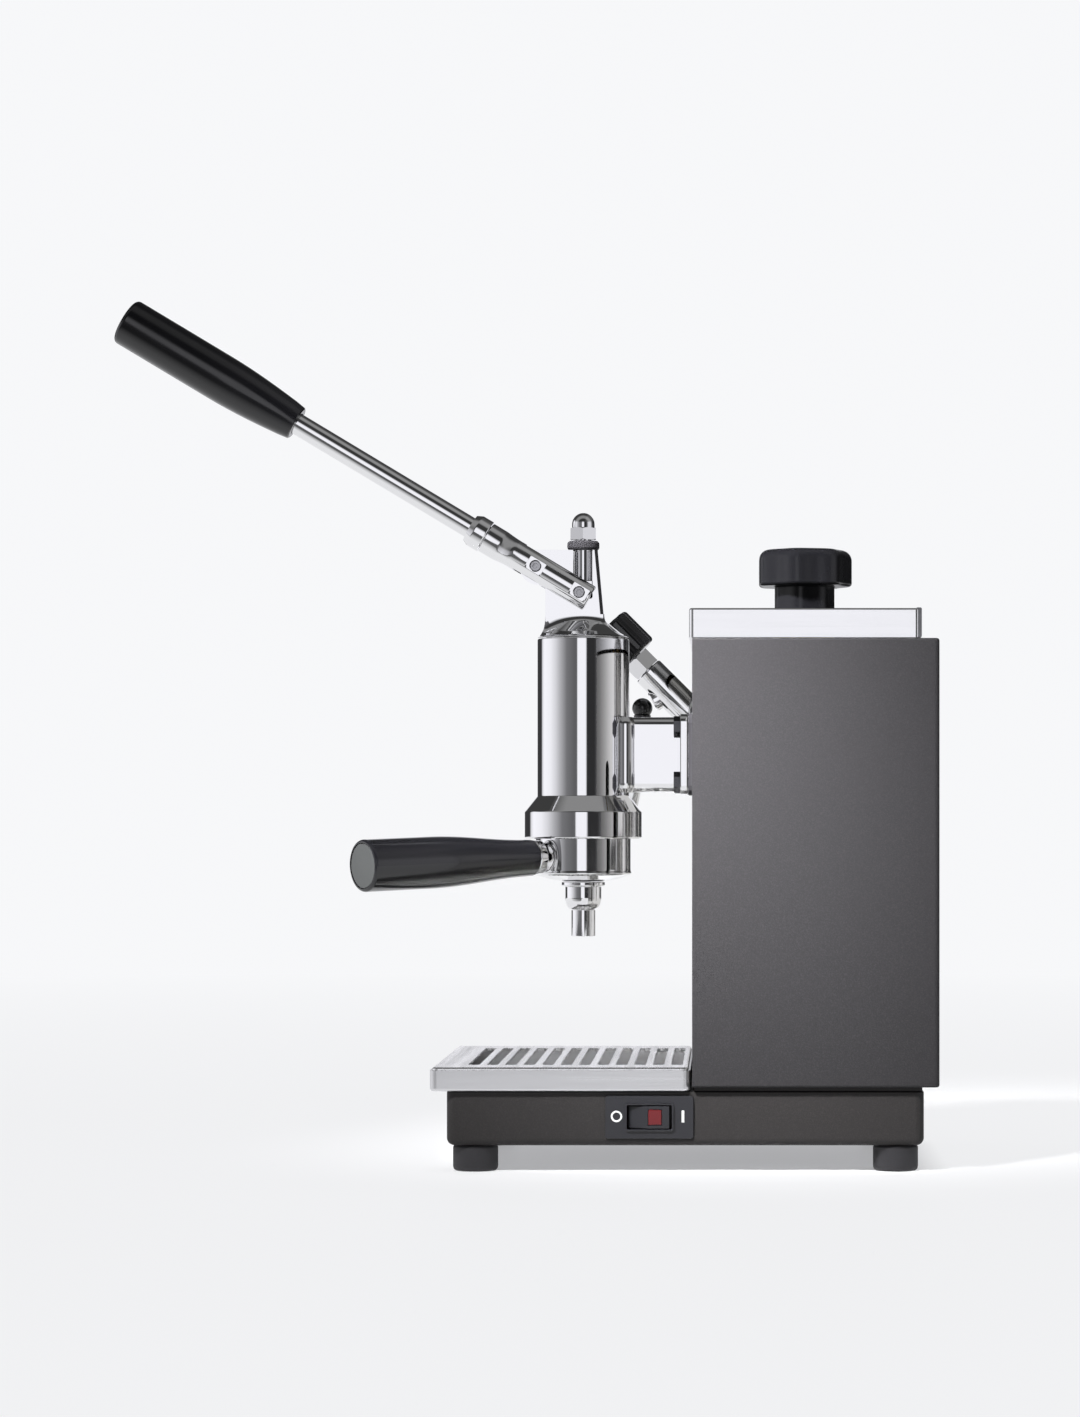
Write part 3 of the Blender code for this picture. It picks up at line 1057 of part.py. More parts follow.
def filter_basket(holder, finishes):
    """A deep cup hung by its rim on the portafilter, under the bell's gasket."""
    rim_low = HOLDER_TOP + FIT
    rim_top = rim_low + BASKET_WALL
    wide = HOLDER_BORE - RUN
    narrow = wide - BASKET_TAPER
    floor = rim_top - BASKET_DEPTH
    profile = [(0.0, floor), (narrow, floor), (wide, rim_low), (BASKET_RIM_RADIUS, rim_low),
               (BASKET_RIM_RADIUS, rim_top), (wide - BASKET_WALL, rim_top),
               (narrow - BASKET_WALL, floor + BASKET_WALL), (0.0, floor + BASKET_WALL)]
    piece("filter_basket", turned(profile), finishes["steel"], holder)


def spout(holder, finishes):
    """The single spout: disc, cup and tube, bored through."""
    top = HOLDER_BOTTOM - HOLDER_DOME - FIT
    disc_low = top - SPOUT_DISC_HEIGHT
    cup_low = disc_low - SPOUT_CUP_HEIGHT
    tip = cup_low - SPOUT_TUBE_HEIGHT
    cup = [(SPOUT_CUP_RADIUS - (SPOUT_CUP_RADIUS - SPOUT_TUBE_RADIUS) * (1 - cos(a)),
            cup_low + (1 - sin(a)) * SPOUT_CUP_HEIGHT / 2) for a in (0, pi / 6, pi / 3, pi / 2)]
    profile = ([(OUTLET_RADIUS, top), (SPOUT_DISC_RADIUS, top), (SPOUT_DISC_RADIUS, disc_low),
                (SPOUT_CUP_RADIUS, disc_low)] + cup
               + [(SPOUT_TUBE_RADIUS, tip), (OUTLET_RADIUS, tip)])
    piece("spout", turned(profile), finishes["chrome"], holder)


def handle_parts(handle_axis, finishes):
    """Ferrule, handle and end disc, turned about the handle's axis."""
    along = (pi / 2, 0.0, 0.0)
    base = HOLDER_RADIUS - RUN
    ring = base + (FERRULE_END - base) * 0.45
    ferrule = [(0.0, 0.0), (FERRULE_RADIUS, 0.0), (FERRULE_RADIUS, ring - FIT),
               (FERRULE_RING_RADIUS, ring), (FERRULE_RING_RADIUS, FERRULE_END - FIT),
               (FERRULE_RING_RADIUS - FIT, FERRULE_END), (0.0, FERRULE_END)]
    stem = piece("portafilter_ferrule", turned(ferrule), finishes["chrome"], handle_axis, turn=along)
    cut(stem, disc(HOLDER_RADIUS + FIT, -HOLDER_HEIGHT, HOLDER_HEIGHT, BIG_SIDES),
        turn=(-HANDLE_DROOP, 0.0, 0.0))
    start = FERRULE_END + FIT
    length = HANDLE_END - start
    handle = [(0.0, start), (HANDLE_NECK_RADIUS - RUN, start), (HANDLE_NECK_RADIUS, start + RUN)]
    steps = 5
    for k in range(1, steps + 1):
        share = k / steps
        swell = (1 - cos(share * pi)) / 2
        handle.append((HANDLE_NECK_RADIUS + (HANDLE_BUTT_RADIUS - HANDLE_NECK_RADIUS) * swell,
                       start + length * 0.6 * share))
    handle += [(HANDLE_BUTT_RADIUS - HANDLE_ROUND + HANDLE_ROUND * cos(a),
                HANDLE_END - HANDLE_ROUND + HANDLE_ROUND * sin(a)) for a in (0, pi / 4, pi / 2)]
    handle += [(DISC_RADIUS + FIT, HANDLE_END), (DISC_RADIUS + FIT, HANDLE_END - DISC_THICKNESS),
               (0.0, HANDLE_END - DISC_THICKNESS)]
    piece("portafilter_handle", turned(handle), finishes["black"], handle_axis, turn=along)
    end = disc(DISC_RADIUS, HANDLE_END - DISC_THICKNESS + FIT, HANDLE_END - FIT)
    piece("handle_end_disc", end, finishes["disc"], handle_axis, turn=along)


# Boiler and its fittings

def boiler_shell(machine, finishes):
    """The boiler with filler neck, heater opening, bosses and the seat that the group is bolted to."""
    r, low, high = BOILER_RADIUS, BOILER_BOTTOM, BOILER_TOP
    dome, wall = BOILER_DOME, BOILER_WALL
    outer = ([(0.0, low - HEATER_BOSS_HEIGHT), (HEATER_BOSS, low - HEATER_BOSS_HEIGHT), (HEATER_BOSS, low)]
             + [(r - dome + dome * sin(a), low + dome - dome * cos(a)) for a in (0, pi / 4, pi / 2)]
             + [(r - dome + dome * cos(a), high - dome + dome * sin(a)) for a in (0, pi / 4, pi / 2)]
             + [(FILLER_RADIUS, high), (FILLER_RADIUS, FILLER_TOP), (0.0, FILLER_TOP)])
    at = (0.0, BOILER_REACH, 0.0)
    boiler = piece("boiler_shell", turned(outer), finishes["brass"], machine, at)
    depth = BOILER_REACH - r / 2
    seat = BOILER_SEAT_WIDTH / 2
    face = HOUSING_REACH + FIT
    join(boiler, block((-seat, face, NECK_MIDDLE - FLANGE_HEIGHT / 2), (seat, depth, NECK_MIDDLE + FLANGE_HEIGHT / 2)))
    for sign in (-1, 1):
        join(boiler, disc(BOSS_RADIUS, high - dome, high + BOSS_HEIGHT, SMALL_SIDES),
             (sign * TOP_BOSS_SPREAD, BOILER_REACH, 0.0))
    join(boiler, disc(BOSS_RADIUS, r / 2, r + BOSS_HEIGHT, SMALL_SIDES),
         (0.0, BOILER_REACH, PRESSURE_HEIGHT), (0.0, -pi / 2, 0.0))
    for z in (SIGHT_LOW, SIGHT_HIGH):
        join(boiler, disc(BOSS_RADIUS, sight_rear() + FIT, BOILER_REACH - r / 2, SMALL_SIDES),
             (SIGHT_X, 0.0, z), (-pi / 2, 0.0, 0.0))
    inner = r - wall
    hollow = ([(0.0, low - HEATER_BOSS_HEIGHT - OVERRUN), (HEATER_BORE, low - HEATER_BOSS_HEIGHT - OVERRUN),
               (HEATER_BORE, low + wall)]
              + [(inner - dome + dome * sin(a), low + wall + dome - dome * cos(a)) for a in (0, pi / 4, pi / 2)]
              + [(inner - dome + dome * cos(a), high - wall - dome + dome * sin(a)) for a in (0, pi / 4, pi / 2)]
              + [(FILLER_BORE, high - wall), (FILLER_BORE, FILLER_TOP + OVERRUN), (0.0, FILLER_TOP + OVERRUN)])
    cut(boiler, turned(hollow), at)
    for x, z in bolt_places():
        cut(boiler, disc(BOLT_RADIUS + FIT, face - OVERRUN, face + BOLT_LENGTH, SMALL_SIDES),
            (x, 0.0, z), (-pi / 2, 0.0, 0.0))


def sight_front():
    return HOUSING_REACH + SHEET + SIGHT_SETBACK


def sight_rear():
    return sight_front() + SIGHT_BLOCK


def heating_element(machine, finishes):
    """A flange under the boiler and one tube that rises, loops round inside and comes down again."""
    top = BOILER_BOTTOM - HEATER_BOSS_HEIGHT - FIT
    bottom = top - HEATER_FLANGE
    heater = piece("heating_element", disc(HEATER_BOSS, bottom, top), finishes["steel"], machine,
                   (0.0, BOILER_REACH, 0.0))
    level = BOILER_BOTTOM + HEATER_LOOP_HEIGHT
    leg = HEATER_LEG_SPREAD
    spread = asin(leg / HEATER_LOOP_RADIUS)
    start = [(leg, 0.0, bottom + HEATER_FLANGE / 2), (leg, 0.0, level)]
    loop = [(HEATER_LOOP_RADIUS * sin(a), -HEATER_LOOP_RADIUS * cos(a), level)
            for a in (spread + (tau - 2 * spread) * k / 8 for k in range(9))]
    end = [(-x, y, z) for x, y, z in reversed(start)]
    path = bent(start + loop + end, HEATER_BEND, 2)
    join(heater, tube(path, HEATER_TUBE, 6), (0.0, BOILER_REACH, 0.0))


def safety_valve(machine, finishes):
    """A hexagon body and its cap on the boiler's right-hand boss."""
    low = BOILER_TOP + BOSS_HEIGHT + FIT
    middle = low + VALVE_HEX_HEIGHT
    at = (TOP_BOSS_SPREAD, BOILER_REACH, 0.0)
    valve = piece("safety_valve", hexagon(VALVE_HEX, low, middle), finishes["brass"], machine, at)
    join(valve, disc(VALVE_CAP_RADIUS, low + FIT, middle + VALVE_CAP_HEIGHT, SMALL_SIDES), at)


def pressure_switch(machine, finishes):
    """The round pressure switch on the boiler's left-hand boss."""
    start = PRESSURE_START
    body = start + PRESSURE_NECK
    profile = [(0.0, start), (BOSS_RADIUS, start), (BOSS_RADIUS, body), (PRESSURE_RADIUS, body),
               (PRESSURE_RADIUS, body + PRESSURE_LENGTH), (0.0, body + PRESSURE_LENGTH)]
    piece("pressure_switch", turned(profile), finishes["plastic"], machine,
          (0.0, BOILER_REACH, PRESSURE_HEIGHT), (0.0, -pi / 2, 0.0))


def steam_pipe(machine, finishes):
    """The pipe from the boiler's left-hand boss to the steam valve's inlet behind the front panel."""
    start = Vector((-TOP_BOSS_SPREAD, BOILER_REACH, BOILER_TOP + BOSS_HEIGHT + FIT))
    inlet = Vector((-STEAM_X, HOUSING_REACH + VALVE_INLET_LENGTH + FIT, STEAM_HEIGHT))
    top = start + Vector((0.0, 0.0, PIPE_RISE))
    low = inlet + Vector((0.0, PIPE_RUN, 0.0))
    over = Vector((low.x, low.y, top.z))
    path = bent([start, top, over, low, inlet], PIPE_BEND, BEND_STEPS)
    piece("steam_pipe", tube(path, PIPE_RADIUS, 8), finishes["copper"], machine)


def sight_glass(machine, finishes):
    """The level glass behind the front panel's window, between two fittings on the boiler."""
    front, rear = sight_front(), sight_rear()
    half = SIGHT_BLOCK / 2
    tall = SIGHT_BLOCK_HEIGHT / 2
    seat = SIGHT_BLOCK_HEIGHT / 3
    y = front + half
    places = (("sight_fitting_lower", SIGHT_LOW, 1), ("sight_fitting_upper", SIGHT_HIGH, -1))
    for name, z, way in places:
        shape = block((SIGHT_X - half, front, z - tall), (SIGHT_X + half, rear, z + tall))
        fitting = piece(name, shape, finishes["chrome"], machine)
        low, high = sorted((z + way * (tall - seat), z + way * (tall + OVERRUN)))
        cut(fitting, disc(SIGHT_GLASS_RADIUS + FIT, low, high, SMALL_SIDES), (SIGHT_X, y, 0.0))
    low = SIGHT_LOW + tall - seat + FIT
    high = SIGHT_HIGH - tall + seat - FIT
    piece("sight_glass", disc(SIGHT_GLASS_RADIUS, low, high, SMALL_SIDES), finishes["glass"], machine,
          (SIGHT_X, y, 0.0))


def lobed_ring(radius, hollow, lobes, z, count):
    """A ring of points whose radius falls by a hollow between its lobes."""
    points = []
    for k in range(count):
        angle = tau * k / count
        reach = radius - hollow * (1 - cos(lobes * angle)) / 2
        points.append((reach * cos(angle), reach * sin(angle), z))
    return points


def boiler_cap(cap_axis, finishes):
    """A scalloped head on a fluted neck, with the plug that goes down into the filler."""
    neck_low = LID_TOP + FIT
    head_low = neck_low + CAP_NECK_HEIGHT
    top = head_low + CAP_HEAD_HEIGHT
    count = CAP_LOBES * 6
    rings = [lobed_ring(CAP_NECK_RADIUS, CAP_FLUTE, CAP_LOBES, z, count) for z in (neck_low, head_low)]
    lower = CAP_HEAD_RADIUS - CAP_ROUND / 4
    rings.append(lobed_ring(lower, CAP_SCALLOP, CAP_LOBES, head_low, count))
    rings.append(lobed_ring(CAP_HEAD_RADIUS, CAP_SCALLOP, CAP_LOBES, head_low + CAP_ROUND / 4, count))
    for angle in (0, pi / 6, pi / 3, pi / 2):
        reach = CAP_HEAD_RADIUS - CAP_ROUND * (1 - cos(angle))
        hollow = CAP_SCALLOP * (1 - angle / pi)
        rings.append(lobed_ring(reach, hollow, CAP_LOBES, top - CAP_ROUND * (1 - sin(angle)), count))
    cap = piece("boiler_cap", loft(rings), finishes["black"], cap_axis)
    plug_low = neck_low - CAP_PLUG_LENGTH
    join(cap, disc(FILLER_BORE - RUN, plug_low, neck_low + CAP_NECK_HEIGHT / 2))


def cap_gasket(cap_seal, finishes):
    low, high = FILLER_TOP + FIT, FILLER_TOP + FIT + CAP_GASKET - FIT
    profile = [(FILLER_BORE, low), (CAP_NECK_RADIUS - CAP_FLUTE, low),
               (CAP_NECK_RADIUS - CAP_FLUTE, high), (FILLER_BORE, high)]
    piece("cap_gasket", turned(profile), finishes["seal"], cap_seal)


# Steam valve and wand

def steam_valve_body(machine, finishes):
    """A slanting barrel with a rose and inlet on the housing and an outlet boss for the wand."""
    start = -VALVE_RADIUS
    barrel = [(0.0, start), (VALVE_RADIUS, start), (VALVE_RADIUS, VALVE_LENGTH - RUN),
              (VALVE_RADIUS - RUN, VALVE_LENGTH), (SPINDLE_RADIUS + FIT, VALVE_LENGTH),
              (SPINDLE_RADIUS + FIT, VALVE_LENGTH - SPINDLE_SEAT), (0.0, VALVE_LENGTH - SPINDLE_SEAT)]
    body = piece("steam_valve_body", turned(barrel), finishes["chrome"], machine,
                 (-STEAM_X, HOUSING_REACH, STEAM_HEIGHT), (STEAM_SLANT, 0.0, 0.0))
    face = HOUSING_REACH - FIT
    cut(body, block((-STEAM_X - STEAM_KNOB_RADIUS, face, STEAM_HEIGHT - 2 * VALVE_LENGTH),
                    (-STEAM_X + STEAM_KNOB_RADIUS, face + VALVE_LENGTH, STEAM_HEIGHT + VALVE_LENGTH)))
    join(body, disc(VALVE_ROSE_RADIUS, face - VALVE_ROSE, face), (-STEAM_X, 0.0, STEAM_HEIGHT),
         (-pi / 2, 0.0, 0.0))
    join(body, disc(VALVE_INLET_RADIUS, face - VALVE_ROSE / 2, HOUSING_REACH + VALVE_INLET_LENGTH,
                    SMALL_SIDES), (-STEAM_X, 0.0, STEAM_HEIGHT), (-pi / 2, 0.0, 0.0))
    root = (-STEAM_X, HOUSING_REACH - OUTLET_START * sin(STEAM_SLANT),
            STEAM_HEIGHT + OUTLET_START * cos(STEAM_SLANT))
    join(body, disc(OUTLET_BOSS, 0.0, OUTLET_LENGTH, SMALL_SIDES), root, (pi / 2 + OUTLET_SLANT, 0.0, 0.0))


def steam_knob_parts(valve_axis, finishes):
    """Spindle and ribbed knob, which turn about the barrel's axis, and the fixed gland nut's room."""
    seat = VALVE_LENGTH - SPINDLE_SEAT + FIT
    hub = VALVE_LENGTH + GLAND_LENGTH + 2 * FIT
    knob_seat = hub + SPINDLE_SEAT
    piece("valve_spindle", disc(SPINDLE_RADIUS, seat, knob_seat - FIT, SMALL_SIDES), finishes["steel"],
          valve_axis)
    count = STEAM_KNOB_RIBS * 3
    end = hub + STEAM_KNOB_LENGTH
    edge = STEAM_KNOB_HUB_LENGTH / 2
    rings = [lobed_ring(STEAM_KNOB_HUB, 0.0, STEAM_KNOB_RIBS, z, count)
             for z in (hub, hub + STEAM_KNOB_HUB_LENGTH)]
    body = hub + STEAM_KNOB_HUB_LENGTH
    rings.append(lobed_ring(STEAM_KNOB_RADIUS - edge / 2, STEAM_KNOB_RIB, STEAM_KNOB_RIBS, body, count))
    rings.append(lobed_ring(STEAM_KNOB_RADIUS, STEAM_KNOB_RIB, STEAM_KNOB_RIBS, body + edge / 2, count))
    rings.append(lobed_ring(STEAM_KNOB_RADIUS, STEAM_KNOB_RIB, STEAM_KNOB_RIBS, end - edge / 2, count))
    rings.append(lobed_ring(STEAM_KNOB_RADIUS - edge / 2, STEAM_KNOB_RIB, STEAM_KNOB_RIBS, end, count))
    knob = piece("steam_knob", loft(rings), finishes["black"], valve_axis)
    cut(knob, disc(SPINDLE_RADIUS + FIT, hub - OVERRUN, knob_seat, SMALL_SIDES))


def gland_nut(machine, finishes):
    """The hexagon nut that closes the barrel round the spindle."""
    low, high = VALVE_LENGTH + FIT, VALVE_LENGTH + FIT + GLAND_LENGTH
    at = (-STEAM_X, HOUSING_REACH, STEAM_HEIGHT)
    turn = (STEAM_SLANT, 0.0, 0.0)
    nut = piece("gland_nut", hexagon(GLAND_FLATS, low, high), finishes["chrome"], machine, at, turn)
    cut(nut, disc(SPINDLE_RADIUS + FIT, low - OVERRUN, high + OVERRUN, SMALL_SIDES), at, turn)


def wand_parts(wand_axis, finishes):
    """The black ball on the outlet and the steel wand that hangs from it, bent out to the side."""
    ball = [(0.0, BALL_RADIUS)]
    ball += [(BALL_RADIUS * sin(a), BALL_RADIUS * cos(a)) for a in (pi / 8 * k for k in range(1, 7))]
    ball += [(BALL_NECK_RADIUS, -BALL_RADIUS * cos(asin(BALL_NECK_RADIUS / BALL_RADIUS))),
             (BALL_NECK_RADIUS, -BALL_RADIUS - BALL_NECK), (0.0, -BALL_RADIUS - BALL_NECK)]
    piece("wand_grip", turned(ball, SMALL_SIDES), finishes["black"], wand_axis)
    top = -BALL_RADIUS - BALL_NECK - FIT
    stops = [(0.0, 0.0, top), (0.0, 0.0, top - WAND_NECK), (-WAND_OUT, -WAND_FORWARD, top - WAND_DROP)]
    wand = piece("steam_wand", tube(bent(stops, WAND_BEND, 5), WAND_RADIUS, 10), finishes["chrome"],
                 wand_axis)
    foot, above = Vector(stops[-1]), Vector(stops[-2])
    way = (foot - above).normalized()
    nozzle = [(0.0, -BALL_NECK), (WAND_RADIUS * 1.35, -BALL_NECK), (WAND_RADIUS * 1.35, BALL_NECK),
              (WAND_RADIUS * 0.7, BALL_NECK * 2), (0.0, BALL_NECK * 2)]
    turn = way.to_track_quat("Z", "Y").to_euler()
    join(wand, turned(nozzle, SMALL_SIDES), foot, turn)


# Switch and mains inlet

def switch_frame(machine, finishes):
    """The dark plate on the base with the bezel and the well that the rocker tilts in."""
    y = SWITCH_REACH
    wall = BASE_WIDTH / 2 + FIT
    half, tall = SWITCH_PLATE_LENGTH / 2, SWITCH_PLATE_HEIGHT / 2
    outline = rounded((y - half, SWITCH_Z - tall), (y + half, SWITCH_Z + tall), SWITCH_PLATE)
    frame = piece("switch_frame", prism(outline, wall, SWITCH_FACE, "X"), finishes["plastic"], machine)
    length, height = ROCKER_LENGTH / 2 + SWITCH_BEZEL_WALL, ROCKER_HEIGHT / 2 + SWITCH_BEZEL_WALL
    join(frame, block((wall - SWITCH_BODY_DEPTH, y - length, SWITCH_Z - height),
                      (SWITCH_FACE + SWITCH_BEZEL, y + length, SWITCH_Z + height)))
    length, height = ROCKER_LENGTH / 2 + RUN, ROCKER_HEIGHT / 2 + RUN
    cut(frame, block((wall - SWITCH_BODY_DEPTH + SHEET, y - length, SWITCH_Z - height),
                     (SWITCH_FACE + SWITCH_BEZEL + OVERRUN, y + length, SWITCH_Z + height)))


def rocker_parts(rocker_axis, finishes):
    """The roof-shaped rocker, tilted to its off end, with the lamp window behind its ridge."""
    half, tall = ROCKER_LENGTH / 2, ROCKER_HEIGHT / 2
    end = ROCKER_PEAK - half * sin(ROCKER_TILT) - RUN
    back = -ROCKER_PEAK
    waist = half * 0.75
    outline = [(back, -waist), (end, -half + RUN), (ROCKER_PEAK, 0.0), (end, half - RUN), (back, waist)]
    rocker = piece("switch_rocker", prism(outline, -tall, tall), finishes["plastic"], rocker_axis)
    slope = atan2(ROCKER_PEAK - end, half - RUN)
    middle = half * 0.3
    seat = (ROCKER_PEAK - middle * sin(slope), middle, 0.0)
    turn = (0.0, 0.0, slope)
    long, high = LAMP_LENGTH / 2, LAMP_HEIGHT / 2
    cut(rocker, block((-LAMP_DEPTH - FIT, -long - FIT, -high - FIT), (OVERRUN, long + FIT, high + FIT)),
        seat, turn)
    piece("switch_lamp", block((-LAMP_DEPTH, -long, -high), (0.0, long, high)), finishes["red"],
          rocker_axis, seat, turn)


def mains_inlet(machine, finishes):
    """The recessed inlet in the back of the base, with its three blades."""
    wall = BASE_REAR + FIT
    wide, tall = INLET_WIDTH / 2 + INLET_WALL, INLET_HEIGHT / 2 + INLET_WALL
    outline = rounded((INLET_X - wide - INLET_FLANGE, SWITCH_Z - tall - INLET_FLANGE / 4),
                      (INLET_X + wide + INLET_FLANGE, SWITCH_Z + tall + INLET_FLANGE / 4), INLET_WALL)
    shape = prism(outline, wall, wall + INLET_FLANGE_THICKNESS, "Y")
    inlet = piece("mains_inlet", shape, finishes["plastic"], machine)
    bottom = wall - INLET_DEPTH - INLET_WALL
    join(inlet, block((INLET_X - wide, bottom, SWITCH_Z - tall),
                      (INLET_X + wide, wall + INLET_FLANGE_THICKNESS / 2, SWITCH_Z + tall)))
    wide, tall = INLET_WIDTH / 2, INLET_HEIGHT / 2
    outline = rounded((INLET_X - wide, SWITCH_Z - tall), (INLET_X + wide, SWITCH_Z + tall), INLET_WALL)
    cut(inlet, prism(outline, bottom + INLET_WALL, wall + OVERRUN, "Y"))
    for step, drop in ((-1, 0.0), (0, 1.0), (1, 0.0)):
        x = INLET_X + step * PIN_BLADE_SPREAD
        z = SWITCH_Z - PIN_BLADE_DROP + drop * PIN_BLADE_DROP * 1.5
        thick, high = PIN_BLADE_THICKNESS / 2, PIN_BLADE_WIDTH / 2
        join(inlet, block((x - thick, bottom + INLET_WALL / 2, z - high),
                          (x + thick, bottom + INLET_WALL + PIN_BLADE_LENGTH, z + high)))


def build():
    empty_scene()
    finishes = make_finishes()
    machine = axis_empty("machine", None, (0.0, MACHINE_Y, 0.0))

    base_pan(machine, finishes)
    bottom_plate(machine, finishes)
    feet(machine, finishes)
    chassis_plate(machine, finishes)
    housing_wrap(machine, finishes)
    front_panel(machine, finishes)
    top_lid(machine, finishes)

    tray_slide = axis_empty("tray_slide", machine, (0.0, 0.0, 0.0))
    drip_tray(tray_slide, finishes)
    grate_lift = axis_empty("grate_lift", tray_slide, (0.0, 0.0, 0.0))
    drip_grate(grate_lift, finishes)

    group_body(machine, finishes)
    group_gasket(machine, finishes)
    flange_bolts(machine, finishes)
    shower_screen(machine, finishes)
    bell_gasket(machine, finishes)
    piston_slide = axis_empty("piston_slide", machine, (0.0, 0.0, 0.0))
    piston_parts(piston_slide, finishes)
    piston_rod(piston_slide, finishes)
    bumper_ring(piston_slide, finishes)
    acorn_nut(piston_slide, finishes)
    piston_spring(machine, finishes)

    lever_bracket(machine, finishes)
    lever = axis_empty("lever_axis", machine, (0.0, -FULCRUM_REACH, FULCRUM_HEIGHT),
                       (-LEVER_ANGLE, 0.0, 0.0))
    lever_fork(lever, finishes)
    lever_parts(lever, finishes)

    holder = axis_empty("portafilter_axis", machine, (0.0, 0.0, 0.0), (0.0, 0.0, HANDLE_ANGLE))
    portafilter_body(holder, finishes)
    filter_basket(holder, finishes)
    spout(holder, finishes)
    handle_axis = axis_empty("handle_axis", holder, (0.0, 0.0, GROUP_HEIGHT - HANDLE_AXIS_DROP),
                             (HANDLE_DROOP, 0.0, 0.0))
    handle_parts(handle_axis, finishes)

    boiler_shell(machine, finishes)
    heating_element(machine, finishes)
    safety_valve(machine, finishes)
    pressure_switch(machine, finishes)
    steam_pipe(machine, finishes)
    sight_glass(machine, finishes)
    cap_seal = axis_empty("cap_seal", machine, (0.0, BOILER_REACH, 0.0))
    cap_gasket(cap_seal, finishes)
    boiler_cap(axis_empty("cap_axis", cap_seal, (0.0, 0.0, 0.0), (0.0, 0.0, pi / 2)), finishes)

    valve_axis = axis_empty("valve_axis", machine, (-STEAM_X, HOUSING_REACH, STEAM_HEIGHT),
                            (STEAM_SLANT, 0.0, 0.0))
    steam_valve_body(machine, finishes)
    gland_nut(machine, finishes)
    steam_knob_parts(valve_axis, finishes)
    wand_parts(axis_empty("wand_axis", machine, (-STEAM_X, BALL_Y, BALL_Z)), finishes)

    switch_frame(machine, finishes)
    rocker_x = SWITCH_FACE + SWITCH_BEZEL - ROCKER_PEAK + RUN
    rocker_parts(axis_empty("rocker_axis", machine, (rocker_x, SWITCH_REACH, SWITCH_Z),
                            (0.0, 0.0, -ROCKER_TILT)), finishes)
    mains_inlet(machine, finishes)


build()
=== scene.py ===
import json
from math import atan2, cos, pi, radians, sin, sqrt

import bmesh
import bpy
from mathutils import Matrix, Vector


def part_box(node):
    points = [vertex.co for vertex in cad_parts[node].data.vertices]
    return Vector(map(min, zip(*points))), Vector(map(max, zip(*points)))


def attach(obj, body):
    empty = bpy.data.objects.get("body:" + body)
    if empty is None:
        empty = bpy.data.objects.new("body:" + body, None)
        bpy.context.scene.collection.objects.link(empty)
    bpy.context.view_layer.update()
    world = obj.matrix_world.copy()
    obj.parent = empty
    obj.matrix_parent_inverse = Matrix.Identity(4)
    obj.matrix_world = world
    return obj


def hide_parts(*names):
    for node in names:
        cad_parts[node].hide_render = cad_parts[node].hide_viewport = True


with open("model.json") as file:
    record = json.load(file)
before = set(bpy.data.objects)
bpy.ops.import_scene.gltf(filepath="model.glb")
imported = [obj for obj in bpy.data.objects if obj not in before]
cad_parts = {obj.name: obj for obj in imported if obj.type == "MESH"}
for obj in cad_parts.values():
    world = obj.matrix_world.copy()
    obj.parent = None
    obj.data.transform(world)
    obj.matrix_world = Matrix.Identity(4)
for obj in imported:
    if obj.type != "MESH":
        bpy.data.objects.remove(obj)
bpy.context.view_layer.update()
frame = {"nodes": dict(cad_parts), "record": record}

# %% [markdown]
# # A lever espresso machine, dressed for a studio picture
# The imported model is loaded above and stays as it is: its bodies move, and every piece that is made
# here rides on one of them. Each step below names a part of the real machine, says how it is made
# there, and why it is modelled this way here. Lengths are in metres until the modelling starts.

MM = 0.001


def middle_of(node):
    """The middle of a node of the frame."""
    low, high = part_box(node)
    return Vector([(a + b) / 2 for a, b in zip(low, high)])


GROUP_Y = middle_of("spout").y
print(f"the group's axis stands at y = {GROUP_Y / MM:.2f} mm")

# %% [markdown]
# ## The camera
# The picture was taken from the right-hand side with a long lens, level with the middle of the
# machine and square to its side, so that nothing converges. The picture's frame is shifted instead of
# turning the lens, as a view camera does: that leaves room over the lever and keeps uprights upright.

# %% The camera at the photograph's place
CAMERA_DISTANCE = 2.031
CAMERA_Y, CAMERA_Z = GROUP_Y + 78.6 * MM, 181.1 * MM
LENS, SENSOR = 93.0, 36.0
SHIFT_TO_FRONT, SHIFT_UP = -0.1306, 0.0857
SIGHT_END = 50.0

lens = bpy.data.cameras.new("studio_lens")
lens.lens, lens.sensor_width, lens.sensor_fit = LENS, SENSOR, "AUTO"
lens.shift_x, lens.shift_y = SHIFT_TO_FRONT, SHIFT_UP
lens.clip_end = SIGHT_END
camera = bpy.data.objects.new("camera", lens)
bpy.context.scene.collection.objects.link(camera)
camera.location = (CAMERA_DISTANCE, CAMERA_Y, CAMERA_Z)
camera.rotation_euler = (pi / 2, 0.0, pi / 2)
bpy.context.scene.camera = camera
print(f"a {LENS:.0f} mm lens looks from {CAMERA_DISTANCE} m away, {CAMERA_Z} m up")

# %% [markdown]
# ## Building blocks for shader nodes
# All finishes are procedural. Small helpers add a node and set its inputs, so that each recipe
# below reads as a list of what it is mixed from.

# %% Helpers for shader nodes
MIX_SHARE, MIX_FIRST, MIX_SECOND, MIX_RESULT = 0, 6, 7, 2  # where a colour mix has its sockets


def feed(tree, socket, value):
    """Link a socket, or set it when the value is a plain one."""
    if isinstance(value, bpy.types.NodeSocket):
        tree.links.new(value, socket)
    else:
        socket.default_value = value


def feed_all(tree, node, inputs):
    """Feed a node's inputs by name, with _ for a space."""
    for name, value in inputs.items():
        feed(tree, node.inputs[name.replace("_", " ")], value)
    return node


def add_node(tree, kind, **inputs):
    return feed_all(tree, tree.nodes.new(f"ShaderNode{kind}"), inputs)


